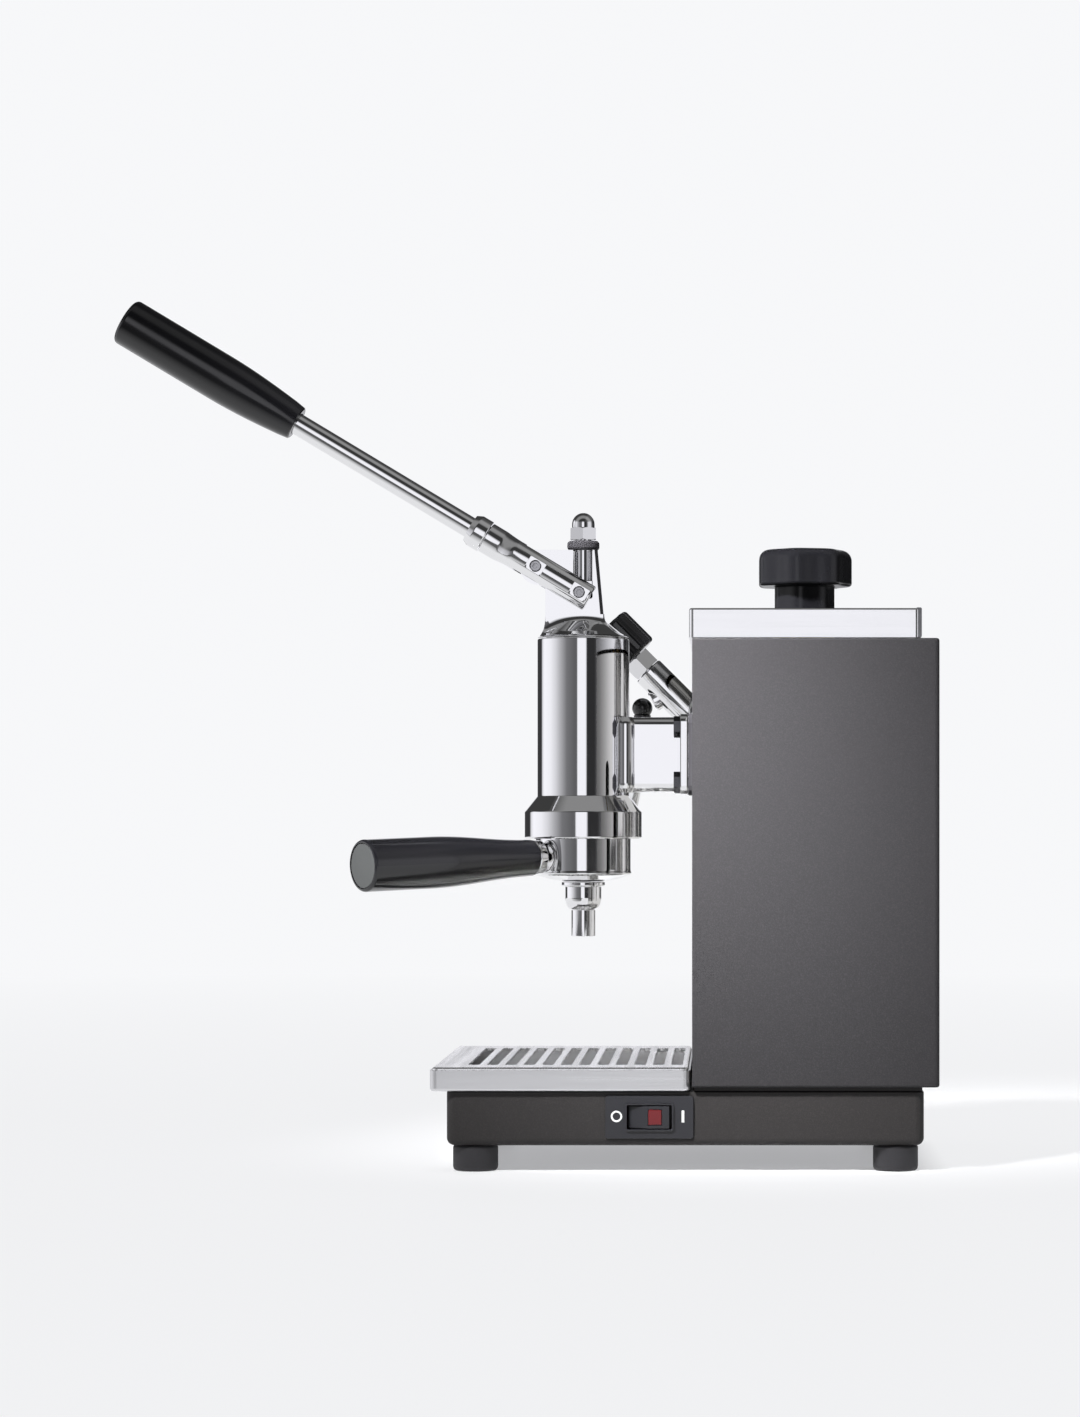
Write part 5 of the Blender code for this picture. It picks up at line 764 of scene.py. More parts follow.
def round_edges(piece, size, segments, test):
    """Round the edges whose two ends pass a test."""
    edit(piece)
    select_parts(piece, "EDGE", lambda edge: test(edge.verts[0].co, edge.verts[1].co))
    bpy.ops.mesh.bevel(offset=size * MM, segments=segments, affect="EDGES")
    done()
    return piece


def round_along(piece, axis, size, segments=8, test=None):
    """Round the edges that run along an axis."""
    number = "XYZ".index(axis)

    def runs(a, b):
        return abs((b - a)[number]) > 0.999 * (b - a).length and (test is None or test((a + b) / 2))

    return round_edges(piece, size, segments, runs)


def slab(low, high, axis, size, segments=8):
    """A block whose four edges along an axis are rounded."""
    return round_along(block(low, high), axis, size, segments)


# %% [markdown]
# ## The group
# A heavy casting, machined and chromed: the bell takes the portafilter, the cylinder above it holds
# piston and spring, and a neck at the back carries it all from the boiler. It is turned first, then the
# neck, saddle and flange are welded on, and last the bores and the bayonet's notches are cut.

# %% Group casting
BELL_RADIUS, BELL_BORE, CYLINDER_RADIUS, CYLINDER_BORE = 32.6, 27.2, 25.5, 20.5
BELL_LOW, BELL_HIGH, FLARE_HIGH, CYLINDER_HIGH = 176.3, 191.1, 199.4, 287.0
LUG_ROOM, LUG_SHELF, LUG_ROOF = 30.4, 180.5, 190.0
LUG_TURN, UNLOCK_TURN, NOTCH_WIDE = 37.0, 60.0, 56.0  # degrees about the group's axis
NECK_HALF, NECK_LOW, NECK_HIGH = 13.0, 201.8, 243.4
NECK_MIDDLE = (NECK_LOW + NECK_HIGH) / 2
SADDLE_HALF, COLUMN_THIN, COLUMN_WIDE, COLUMN_Y = 9.6, 3.6, 6.0, 23.7
FLANGE_HALF, FLANGE_FRONT, FLANGE_REAR, FLANGE_ROUND = (26.0, 22.2), 54.0, 58.1, 5.0
BOLT_X, BOLT_Z, BOLT_ROOM = 20.0, 15.25, 3.3
BOLT_PLACES = [(x, NECK_MIDDLE + z) for z in (BOLT_Z, -BOLT_Z) for x in (-BOLT_X, BOLT_X)]
OVERRUN = 1.0

group = turned(eased([(BELL_RADIUS - 0.6, BELL_LOW), (BELL_RADIUS, BELL_LOW + 0.6), (BELL_RADIUS, BELL_HIGH),
                      (CYLINDER_RADIUS + 0.4, FLARE_HIGH), (CYLINDER_RADIUS, FLARE_HIGH + 0.5),
                      (CYLINDER_RADIUS, CYLINDER_HIGH - 0.5), (CYLINDER_RADIUS - 0.5, CYLINDER_HIGH)],
                     0.6, 4), VERY_FINE)
saddle = slab((-SADDLE_HALF, 12.0, NECK_LOW + 0.4), (SADDLE_HALF, 29.4, NECK_HIGH - 0.4), "Y", 1.0)
for side in (-SADDLE_HALF, SADDLE_HALF):
    column = turned(eased([(COLUMN_THIN, NECK_LOW), (COLUMN_WIDE, NECK_LOW + 3.0),
                           (COLUMN_WIDE, NECK_HIGH - 3.0), (COLUMN_THIN, NECK_HIGH)], 2.4, 8), MEDIUM)
    weld_on(saddle, moved(column, x=side, y=COLUMN_Y))
neck = slab((-NECK_HALF, 24.0, NECK_LOW), (NECK_HALF, 56.0, NECK_HIGH), "Y", FLANGE_ROUND)
flange = slab(*corners("Y", FLANGE_FRONT, FLANGE_REAR, (0.0, NECK_MIDDLE), FLANGE_HALF), "Y", FLANGE_ROUND)
weld_on(group, saddle, neck, break_edges(flange, 0.5))
cut(group, turned([(BELL_BORE, BELL_LOW - OVERRUN), (BELL_BORE, LUG_SHELF), (LUG_ROOM, LUG_SHELF),
                   (LUG_ROOM, LUG_ROOF), (CYLINDER_BORE, LUG_ROOF),
                   (CYLINDER_BORE, CYLINDER_HIGH + OVERRUN)]))
for side in (-90.0, 90.0):
    cut(group, wedge(LUG_ROOM, BELL_LOW - OVERRUN, LUG_SHELF + 0.4, side + LUG_TURN - UNLOCK_TURN,
                     NOTCH_WIDE))
for x, z in BOLT_PLACES:
    cut(group, moved(pin_along("Y", BOLT_ROOM, FLANGE_FRONT - 2.0, FLANGE_REAR + 1.9, SMALL), x=x, z=z))
dress(place(group), "group_body", chrome)

# %% [markdown]
# The flange is held by four hexagon bolts. A forged head has a washer face under it and its corners are
# turned off to a cone, so the hexagon is made as a six-sided turned piece and met with a round one.

# %% Flange bolts, modelled once and copied
HEAD_CORNER, HEAD_HIGH, WASHER_RADIUS = 5.77, 3.4, 4.6
BOLT_RADIUS, BOLT_END, BOLT_HEAD_Y = 3.0, 17.4, 50.4

head = break_edges(hexagon(HEAD_CORNER, 0.0, HEAD_HIGH, [(4.9, -0.5), (6.3, 0.6), (6.3, 4.0)]), 0.15)
weld_on(head, pin_along("Z", BOLT_RADIUS, HEAD_HIGH - 0.4, BOLT_END, SMALL),
        turned([(WASHER_RADIUS, HEAD_HIGH - 0.3), (WASHER_RADIUS, HEAD_HIGH + 0.05)], SMALL))
for number, (x, z) in enumerate(BOLT_PLACES, start=1):
    bolt = place(copy_of(head), x, BOLT_HEAD_Y, z, (-pi / 2, 0.0, 0.0))
    dress(bolt, f"flange_bolt_{number}", bolt_steel)
bpy.data.objects.remove(head)

# %% [markdown]
# ## The lever's bracket
# A cone closes the cylinder and rises into a flat-sided tower. The lever's pin goes through the lobe at
# its front, and the piston's rod shows in the window behind. The cone runs up into the flat sides in
# hollow curves, as a casting does: that skirt is turned as a plain tube, and its rings are drawn in.

# %% Skirt between the cone and the tower
TOWER_HALF, TOWER_FRONT, TOWER_REAR = 8.0, -20.7, 11.8
SKIRT_RADIUS, SKIRT_LOW, SKIRT_HIGH = 24.4, 288.4, 300.3
SKIRT_RINGS, SKIRT_SIDES, SKIRT_HOLLOW, SKIRT_PROUD = 24, 192, 2.2, 0.02
LEAST = 0.01

skirt = turned([(SKIRT_RADIUS, SKIRT_LOW + (SKIRT_HIGH - SKIRT_LOW) * k / SKIRT_RINGS)
                for k in range(SKIRT_RINGS + 1)], SKIRT_SIDES)
for vertex in skirt.data.vertices:
    x, y, z = vertex.co / MM
    radius = sqrt(x * x + y * y)
    reach = TOWER_REAR if y > 0.0 else -TOWER_FRONT
    flat = min(TOWER_HALF * radius / max(abs(x), LEAST), reach * radius / max(abs(y), LEAST))
    share = max(SKIRT_HIGH - z, 0.0) / (SKIRT_HIGH - SKIRT_LOW)
    wide = (flat + SKIRT_PROUD + (SKIRT_RADIUS - flat) * share ** SKIRT_HOLLOW) / radius
    vertex.co.x, vertex.co.y = x * wide * MM, y * wide * MM
print(f"the skirt has {len(skirt.data.vertices)} points")

# %% Lever bracket
PIVOT_Y, PIVOT_Z, PIN_ROOM = -26.0, 326.7, 3.3
LOBE_RADIUS, LOBE_REAR, PISTON_ROD_ROOM = 9.2, -15.0, 5.4
TOWER_LOW, TOWER_HIGH = 296.3, 335.9
CHAMFER, CHAMFER_WIDE, REAR_SETBACK = radians(15), 1.8, 3.6
REAR_LEAN = atan2(REAR_SETBACK, TOWER_HIGH - TOWER_LOW)
CAVITY_HALF, CAVITY_FRONT, CAVITY_REAR, CAVITY_LOW = 5.6, -10.0, 5.8, 304.9
WINDOW_HALF, WINDOW_LOW = 5.4, 308.9
BRACKET_SMOOTH = radians(14)

bracket = turned(eased([(20.2, 283.3), (20.2, 287.3), (CYLINDER_RADIUS - 0.3, 287.3),
                        (CYLINDER_RADIUS, 287.6), (20.6, 290.5), (13.2, TOWER_LOW)], 0.5, 4), VERY_FINE)
tower = block((-TOWER_HALF, TOWER_FRONT, TOWER_LOW), (TOWER_HALF, TOWER_REAR, TOWER_HIGH))
slice_off(tower, (0.0, TOWER_REAR, TOWER_LOW), (0.0, cos(REAR_LEAN), sin(REAR_LEAN)))
for side in (-1.0, 1.0):
    slice_off(tower, (side * TOWER_HALF, TOWER_REAR - CHAMFER_WIDE, TOWER_LOW),
              (side * cos(CHAMFER), sin(CHAMFER) * cos(REAR_LEAN), sin(CHAMFER) * sin(REAR_LEAN)))
upper = block((-TOWER_HALF, PIVOT_Y, PIVOT_Z), (TOWER_HALF, LOBE_REAR, TOWER_HIGH))
lobe = moved(pin_along("X", LOBE_RADIUS, -TOWER_HALF, TOWER_HALF, FINE), y=PIVOT_Y, z=PIVOT_Z)
weld_on(tower, upper, lobe)
break_edges(tower, 0.7, 4)
weld_on(bracket, skirt, tower)
cavity = slab((-CAVITY_HALF, CAVITY_FRONT, CAVITY_LOW), (CAVITY_HALF, CAVITY_REAR, 340.0), "Z", 1.5)
window = slab((-12.0, -WINDOW_HALF, WINDOW_LOW), (12.0, WINDOW_HALF, 345.0), "X", 1.2)
cut(bracket, cavity, window, pin_along("Z", PISTON_ROD_ROOM, 280.0, 306.0, SMALL),
    moved(pin_along("X", PIN_ROOM, -12.0, 12.0, SMALL), y=PIVOT_Y, z=PIVOT_Z))
dress(place(bracket), "lever_bracket", chrome, BRACKET_SMOOTH)

# %% [markdown]
# ## The piston's rod, bumper and nut
# The rod comes up through the tower's window. A rubber ring on it takes the blow when the spring drives
# the piston home, and a domed nut closes its end.

# %% Rod with its crosshead
ROD_RADIUS, THREAD_RADIUS, ROD_LOW, ROD_SHOULDER, ROD_HIGH = 5.0, 4.0, 205.3, 340.9, 350.3
CROSSHEAD_HALF, CROSSHEAD_FRONT, CROSSHEAD_REAR = 5.2, -9.6, 5.4
CROSSHEAD_LOW, SLOT_LOW, SLOT_HIGH, CROSSHEAD_HIGH = 305.3, 308.88, 315.68, 319.3

rod = turned(eased([(ROD_RADIUS, ROD_LOW), (ROD_RADIUS, ROD_SHOULDER), (THREAD_RADIUS, ROD_SHOULDER),
                    (THREAD_RADIUS, ROD_HIGH)], 0.3))
crosshead = block((-CROSSHEAD_HALF, CROSSHEAD_FRONT, CROSSHEAD_LOW),
                  (CROSSHEAD_HALF, CROSSHEAD_REAR, CROSSHEAD_HIGH))
weld_on(rod, break_edges(crosshead, 0.6, 3))
cut(rod, block((-8.0, -CROSSHEAD_REAR, SLOT_LOW), (8.0, 8.0, SLOT_HIGH)))
dress(place(rod), "piston_rod", chrome)

# %% Bumper ring and acorn nut
EDGE_TO_CAMERA = pi / 6
RING_RADIUS, RING_LOW, RING_HIGH, RING_ROUND = 8.9, 336.2, 341.2, (0.9, 1.1)
NUT_CORNER, NUT_LOW, NUT_HIGH = 8.08, 341.8, 348.6
DOME_RADIUS, DOME_LOW, DOME_RISE = 6.3, 350.6, 6.4

ring = turned(eased([(RING_RADIUS - RING_ROUND[0], RING_LOW), (RING_RADIUS, RING_LOW + RING_ROUND[1]),
                     (RING_RADIUS, RING_HIGH - RING_ROUND[1]), (RING_RADIUS - RING_ROUND[0], RING_HIGH)],
                    0.5, 4))
cut(ring, pin_along("Z", ROD_RADIUS + 0.3, RING_LOW - 6.2, RING_HIGH + 3.8, MEDIUM))
dress(place(ring), "bumper_ring", rubber)

nut = hexagon(NUT_CORNER, NUT_LOW, NUT_HIGH, [(7.0, NUT_LOW - 0.2), (8.2, NUT_LOW + 0.6),
                                              (8.2, NUT_HIGH - 0.7), (6.9, NUT_HIGH + 0.1)], EDGE_TO_CAMERA)
dome = [(6.0, 346.0), (DOME_RADIUS, NUT_HIGH), (DOME_RADIUS, DOME_LOW)]
dome += [(DOME_RADIUS * cos(radians(a)), DOME_LOW + DOME_RISE * sin(radians(a))) for a in range(10, 90, 10)]
weld_on(break_edges(nut, 0.2), turned(dome, MEDIUM))
cut(nut, pin_along("Z", THREAD_RADIUS + 0.3, 341.0, DOME_LOW, SMALL))
dress(place(nut), "acorn_nut", chrome)

# %% [markdown]
# ## The lever
# The fork is milled from a round-sided bar, slit for the tower, and drawn in to a round socket for the
# rod. A square flat is milled round each pin. It is modelled upright, along Z, and tipped into place
# when it is finished. Its section is a circle whose halves are moved apart.

# %% Helper: a ring of the fork


def shape_ring(piece, shift, radius=None):
    """Move the selected ring's right and left halves by a shift, and give their rounds a radius."""
    mesh = bmesh.from_edit_mesh(piece.data)
    ring = [vertex for vertex in mesh.verts if vertex.select]
    for vertex in ring:
        vertex.co.x += shift * MM if vertex.co.x > 0.0 else -shift * MM
    if radius:
        tall = max(vertex.co.y for vertex in ring)
        centre = max(max(vertex.co.x for vertex in ring) - tall, 0.0)
        for vertex in ring:
            centre_x = centre if vertex.co.x > 0.0 else -centre
            vertex.co.x = centre_x + (vertex.co.x - centre_x) * radius * MM / tall
            vertex.co.y *= radius * MM / tall
    bmesh.update_edit_mesh(piece.data)


# %% Lever fork
LEVER_AT = {"x": 0.0, "y": PIVOT_Y, "z": PIVOT_Z, "turn": (radians(59.0), 0.0, 0.0)}
PIN_LEVELS = {"fulcrum_pin": 0.0, "crosshead_pin": -28.0}
FORK_END, FORK_END_RADIUS, FORK_SPLIT = -34.5, 7.4, 5.5
FORK_RINGS = (  # how far the next ring is, how far its halves move, and the radius of its rounds
    (0.6, 0.0, 8.0), (47.9, 0.0, 8.0), (2.5, -0.9, 8.1), (3.5, -2.3, 8.4), (2.5, -1.7, 8.7),
    (1.5, -0.6, 8.8), (8.1, 0.0, 8.8), (0.4, 0.0, 8.4),
)
FLAT_HALF, FLAT_X, FORK_GAP = 5.0, 12.6, 8.5
LEVER_ROD_RADIUS, LEVER_ROD_ROOM = 6.0, 6.3

fork = start_disc(FORK_END_RADIUS, FORK_END, FINE, pi / FINE)
shape_ring(fork, FORK_SPLIT)
for rise, shift, radius in FORK_RINGS:
    extrude(z=rise)
    shape_ring(fork, shift, radius)
done()
cut(mend(fork), block((-FORK_GAP, -10.0, -40.0), (FORK_GAP, 10.0, 10.3)))
for level in PIN_LEVELS.values():
    for low, high in ((-16.0, -FLAT_X), (FLAT_X, 16.0)):
        cut(fork, block((low, -FLAT_HALF, level - FLAT_HALF), (high, FLAT_HALF, level + FLAT_HALF)))
    cut(fork, moved(pin_along("X", PIN_ROOM, -20.0, 20.0, SMALL), z=level))
cut(fork, pin_along("Z", LEVER_ROD_ROOM, 20.5, 40.0, MEDIUM))
dress(place(break_edges(fork, 0.25), **LEVER_AT), "lever_fork", chrome)

# %% Pins, with a hexagon socket in each end
PIN_RADIUS, PIN_END, SOCKET_RADIUS, SOCKET_FLOOR = 3.0, 12.3, 1.75, 9.8

for node, level in PIN_LEVELS.items():
    pin = turned(eased([(PIN_RADIUS - 0.4, -PIN_END), (PIN_RADIUS, 0.4 - PIN_END),
                        (PIN_RADIUS, PIN_END - 0.4), (PIN_RADIUS - 0.4, PIN_END)], 0.2), SMALL)
    for low, high in ((-14.0, -SOCKET_FLOOR), (SOCKET_FLOOR, 14.0)):
        cut(pin, turned([(SOCKET_RADIUS, low), (SOCKET_RADIUS, high)], 6))
    moved(pin, z=level, turn=(0.0, pi / 2, 0.0))
    dress(place(pin, **LEVER_AT), node, plain_steel)

# %% Collar, rod and grip
GRIP_LOW, GRIP_TAPER, GRIP_THIN, GRIP_SWELL, GRIP_STEPS = 155.0, 49.95, 9.9, 3.4, 8

collar = turned(eased([(9.1, 32.8), (9.4, 33.1), (9.4, 39.5), (7.8, 42.7)], 0.4))
cut(collar, pin_along("Z", LEVER_ROD_ROOM, 30.0, 45.0, MEDIUM))
dress(place(collar, **LEVER_AT), "lever_collar", chrome)

lever_rod = turned([(LEVER_ROD_RADIUS, 20.8), (LEVER_ROD_RADIUS, 174.7)])
dress(place(lever_rod, **LEVER_AT), "lever_rod", chrome)

grip_profile = [(8.9, GRIP_LOW), (9.7, GRIP_LOW + 0.6)]
for k in range(1, GRIP_STEPS + 1):
    share = k / GRIP_STEPS
    grip_profile.append((GRIP_THIN + GRIP_SWELL * sin(share * pi / 2), GRIP_LOW + GRIP_TAPER * share))
grip_profile += arc(10.8, 263.45, 2.5, 0.0, 90.0, 6)
grip = turned(grip_profile, VERY_FINE)
cut(grip, pin_along("Z", LEVER_ROD_ROOM, GRIP_LOW - 5.0, GRIP_LOW + 20.0, MEDIUM))
dress(place(grip, **LEVER_AT), "lever_handle", phenolic)

# %% [markdown]
# ## The portafilter
# A turned cup that hangs by two lugs in the bell, with a spout screwed under it and a black handle. The
# floor is drawn down in a shallow dome, and a thin lip runs round its edge.

# %% Portafilter cup
CUP_RADIUS, CUP_BORE, CUP_FLOOR, OUTLET_BORE = 26.4, 23.4, 157.4, 4.6
LUG_RADIUS, LUG_LOW, LUG_HIGH, LUG_WIDE = 30.0, 180.8, 183.8, 46.0

cup = turned(eased([(12.4, 152.8), (18.5, 153.8), (25.6, 156.0), (26.6, 156.7), (26.9, 157.4),
                    (26.5, 158.5), (CUP_RADIUS, 159.2), (CUP_RADIUS, 183.5), (25.9, 184.0)], 0.7, 4),
             VERY_FINE)
for side in (-90.0, 90.0):
    weld_on(cup, wedge(LUG_RADIUS, LUG_LOW, LUG_HIGH, side + LUG_TURN, LUG_WIDE))
cut(cup, turned([(CUP_BORE, CUP_FLOOR), (CUP_BORE, LUG_ROOF)]),
    pin_along("Z", OUTLET_BORE, 150.0, 160.0, SMALL))
dress(place(cup), "portafilter_body", chrome)

# %% Spout: disc, cup and tube, turned in one and bored through
TUBE_RADIUS, TUBE_LOW, BOWL_LOW, BOWL_SWELL, BOWL_RISE = 6.6, 122.2, 137.0, 3.4, 6.2

spout_profile = [(TUBE_RADIUS, TUBE_LOW), (TUBE_RADIUS, BOWL_LOW)]
spout_profile += [(TUBE_RADIUS + BOWL_SWELL * sin(radians(a)), BOWL_LOW + BOWL_RISE * (1 - cos(radians(a))))
                  for a in range(15, 91, 15)]
spout_profile += [(10.0, 149.9), (11.6, 149.9), (12.0, 150.3), (12.0, 152.1), (11.6, 152.5)]
spout = turned(eased(spout_profile, 0.4))
cut(spout, pin_along("Z", OUTLET_BORE, 120.0, 155.0, SMALL))
dress(place(break_edges(spout, 0.3)), "spout", chrome)

# %% Ferrule, handle and end disc, turned about the handle's own axis
HANDLE_TIP = radians(92.0)
HANDLE_AT = {"x": 0.0, "y": 0.0, "z": 167.0, "turn": (HANDLE_TIP, 0.0, radians(LUG_TURN))}
HANDLE_LOW, HANDLE_TAPER, HANDLE_THIN, HANDLE_SWELL, HANDLE_STEPS = 34.8, 64.9, 10.0, 4.0, 12
DISC_SEAT, DISC_RADIUS, DISC_ROOM = 141.4, 12.0, 12.3

ferrule = turned(eased([(8.2, 20.0), (8.2, 29.3), (9.2, 29.6), (9.6, 30.0), (9.6, 34.1), (9.2, 34.5)], 0.3))
cut(ferrule, moved(pin_along("Z", CUP_RADIUS + 0.3, -30.0, 30.0, FINE), turn=(-HANDLE_TIP, 0.0, 0.0)))
dress(place(ferrule, **HANDLE_AT), "portafilter_ferrule", chrome)

handle_profile = [(9.2, HANDLE_LOW), (9.9, HANDLE_LOW + 0.5)]
for k in range(1, HANDLE_STEPS + 1):
    share = k / HANDLE_STEPS
    handle_profile.append((HANDLE_THIN + HANDLE_SWELL * (1 - cos(share * pi)) / 2,
                           HANDLE_LOW + HANDLE_TAPER * share))
handle_profile += arc(12.4, DISC_SEAT, 1.6, 0.0, 80.0, 5) + [(DISC_ROOM, DISC_SEAT + 1.6)]
handle = turned(handle_profile, VERY_FINE)
cut(handle, pin_along("Z", DISC_ROOM, DISC_SEAT, 150.0, VERY_FINE))
dress(place(handle, **HANDLE_AT), "portafilter_handle", phenolic)

disc = turned(eased([(DISC_RADIUS, 141.7), (DISC_RADIUS, 142.5), (DISC_RADIUS - 0.2, 142.7)], 0.1))
dress(place(disc, **HANDLE_AT), "handle_end_disc", end_grey)

# %% [markdown]
# ## Sheet metal
# The pans, covers and panels of the real machine are folded from flat sheet. Most are modelled as a
# closed box whose edges are rounded where the sheet bends. Its open side is then taken away, and the skin
# gets its thickness to the inside, so that inner and outer bends run together as they do in folded sheet.

# %% Helpers: folded sheet
LEVEL_SLACK, SQUARE_ON = 0.001, 0.9999


def round_level(piece, level, size, segments=6, test=None):
    """Round the edges that lie level at a height."""
    level *= MM

    def lies(a, b):
        flat = max(abs(a.z - level), abs(b.z - level)) < LEVEL_SLACK * MM
        return flat and (test is None or test((a + b) / 2))

    return round_edges(piece, size, segments, lies)


def open_side(piece, normal):
    """Take the flat face on one side away."""
    edit(piece)
    select_parts(piece, "FACE", lambda face: face.normal.dot(Vector(normal)) > SQUARE_ON)
    bpy.ops.mesh.delete(type="FACE")
    done()
    return piece


def thicken(piece, sheet):
    apply_modifier(piece, "SOLIDIFY", thickness=sheet * MM, offset=-1.0, use_even_offset=True,
                   use_quality_normals=True)
    return piece


# %% [markdown]
# ## The base
# A powder-coated pan turned upside down, on four rubber feet. Its lower edge is a generous bend, and a
# return flange under it carries the bottom plate. It is nearly closed, so here a smaller block is cut
# out of a larger one. The windows for the switch and the mains inlet are cut last.

# %% Base pan
SHEET = 1.5
BASE_HALF, BASE_FRONT, BASE_REAR, BASE_LOW, BASE_HIGH = 95.0, -68.9, 184.0, 14.0, 42.7
BASE_ROUND, BASE_BEND, RETURN_FLANGE = 5.0, 4.0, 9.0
SWITCH_Y, SWITCH_Z, INLET_X = 38.6, 29.25, -55.0
SWITCH, INLET = (SWITCH_Y, SWITCH_Z), (INLET_X, SWITCH_Z)

pan = slab((-BASE_HALF, BASE_FRONT, BASE_LOW), (BASE_HALF, BASE_REAR, BASE_HIGH), "Z", BASE_ROUND)
round_level(pan, BASE_LOW, BASE_BEND, 8)
round_level(pan, BASE_HIGH, 0.8, 3)
hollow = slab((-BASE_HALF + SHEET, BASE_FRONT + SHEET, BASE_LOW + SHEET),
              (BASE_HALF - SHEET, BASE_REAR - SHEET, BASE_HIGH - SHEET), "Z", BASE_ROUND - SHEET)
round_level(hollow, BASE_LOW + SHEET, BASE_BEND - SHEET, 8)
opening = block((-BASE_HALF + RETURN_FLANGE, BASE_FRONT + RETURN_FLANGE, BASE_LOW - 4.0),
                (BASE_HALF - RETURN_FLANGE, BASE_REAR - RETURN_FLANGE, BASE_LOW + 5.0))
cut(pan, hollow, opening, block(*corners("X", BASE_HALF - 5.0, BASE_HALF + 2.0, SWITCH, (13.2, 7.7))),
    block(*corners("Y", BASE_REAR - 4.0, BASE_REAR + 2.0, INLET, (14.3, 10.5))))
dress(place(pan), "base_pan", base_coat)

# %% Feet: one turned rubber foot with a screw recess below, copied to the corners
FOOT_RADIUS, FOOT_INSET = 12.0, 14.6

foot = turned(eased([(FOOT_RADIUS - 1.4, 0.0), (FOOT_RADIUS - 0.4, 0.7), (FOOT_RADIUS, 2.2),
                     (FOOT_RADIUS, 12.6), (FOOT_RADIUS - 1.0, 13.7)], 0.6))
cut(foot, turned([(5.2, -1.0), (5.2, 2.2), (3.0, 2.2), (3.0, 6.0)], SMALL))
for row, y in (("front", BASE_FRONT + FOOT_INSET), ("rear", BASE_REAR - FOOT_INSET)):
    for side, x in (("left", -BASE_HALF + FOOT_INSET), ("right", BASE_HALF - FOOT_INSET)):
        dress(place(copy_of(foot), x, y), f"foot_{row}_{side}", rubber)
bpy.data.objects.remove(foot)

# %% [markdown]
# ## Housing and lid
# Both sides and the back of the housing are one sheet, folded twice and turned in along the top and the
# bottom. The panel at its front is satin steel, with windows for the group's flange, the level glass and
# the steam valve. The lid is a steel pan turned upside down, with a hem down its rear edge.

# %% Housing, folded from one sheet
HOUSE_HALF, HOUSE_FRONT, HOUSE_REAR, HOUSE_LOW, HOUSE_HIGH = 100.0, 61.2, 191.9, 45.1, 282.5
HOUSE_BEND, HOUSE_TOP_BEND, TURNED_IN, TURNED_IN_REAR = 3.0, 1.4, 10.0, 20.3


def behind_front(at):
    return at.y > (HOUSE_FRONT + 1.0) * MM


wrap = block((-HOUSE_HALF, HOUSE_FRONT, HOUSE_LOW), (HOUSE_HALF, HOUSE_REAR, HOUSE_HIGH))
round_along(wrap, "Z", HOUSE_BEND, 8, behind_front)
for level in (HOUSE_LOW, HOUSE_HIGH):
    round_level(wrap, level, HOUSE_TOP_BEND, 5, behind_front)
thicken(open_side(wrap, (0.0, -1.0, 0.0)), SHEET)
cut(wrap, block((-HOUSE_HALF + TURNED_IN, HOUSE_FRONT - 5.0, HOUSE_LOW - 5.0),
                (HOUSE_HALF - TURNED_IN, HOUSE_REAR - TURNED_IN_REAR, HOUSE_HIGH + 5.0)))
dress(place(wrap), "housing_wrap", housing_coat)

# %% Front panel with its windows
PANEL_HALF, PANEL_LOW, PANEL_HIGH = 98.2, 46.9, 280.7
VALVE_X, VALVE_Z, VALVE_ROOM = -55.0, 245.3, 6.8
GLASS_X, GLASS_Y, GLASS_WINDOW_Z, GLASS_WINDOW_HALF = 44.0, 72.7, 172.0, (6.0, 48.0)
FLANGE_WINDOW_HALF = (25.3, 22.5)

panel = slab((-PANEL_HALF, HOUSE_FRONT, PANEL_LOW), (PANEL_HALF, HOUSE_FRONT + SHEET, PANEL_HIGH),
             "Y", 1.0, 3)
near, far = HOUSE_FRONT - 2.0, HOUSE_FRONT + 4.0
cut(panel, slab(*corners("Y", near, far, (0.0, NECK_MIDDLE), FLANGE_WINDOW_HALF), "Y", 5.3),
    slab(*corners("Y", near, far, (GLASS_X, GLASS_WINDOW_Z), GLASS_WINDOW_HALF), "Y", 5.9, 12),
    moved(pin_along("Y", VALVE_ROOM, near, far), x=VALVE_X, z=VALVE_Z))
dress(place(break_edges(panel, 0.2)), "front_panel", panel_steel)

# %% Lid, and the hem that is folded down its rear edge
LID_HALF, LID_FRONT, LID_REAR, LID_LOW, LID_HIGH = 99.0, HOUSE_FRONT - 1.6, 181.6, 282.8, 298.3
CAP_Y, CAP_ROOM = 122.3, 18.5
HEM_HALF, HEM_DEEP, HEM_PROUD = 98.6, 2.2, 0.9

lid = slab((-LID_HALF, LID_FRONT, LID_LOW), (LID_HALF, LID_REAR, LID_HIGH), "Z", 2.5)
round_level(lid, LID_HIGH, 1.1, 5)
thicken(open_side(lid, (0.0, 0.0, -1.0)), SHEET)
cut(lid, moved(pin_along("Z", CAP_ROOM, 290.0, 302.0), y=CAP_Y))
dress(place(lid), "top_lid", lid_steel)

# Painted shade: the hem gets darker steel than the lid, for the shade along the lid's rear edge.
hem = slab((-HEM_HALF, LID_REAR - HEM_DEEP, LID_LOW), (HEM_HALF, LID_REAR + HEM_PROUD, LID_HIGH + 0.3),
           "X", 0.8, 4)
add_on(place(hem), "lid_hem", BODY_OF["top_lid"], hem_painted_shade_steel)

# %% [markdown]
# ## Boiler cap
# The cap is moulded in black phenolic: a fluted neck and a head with seven soft lobes for the hand. It is
# turned first, with enough sides for the lobes, and its skin is then drawn in between them. A hand could
# sculpt the hollows, but a cosine keeps the seven alike.

# %% Helper: lobes round a turned piece


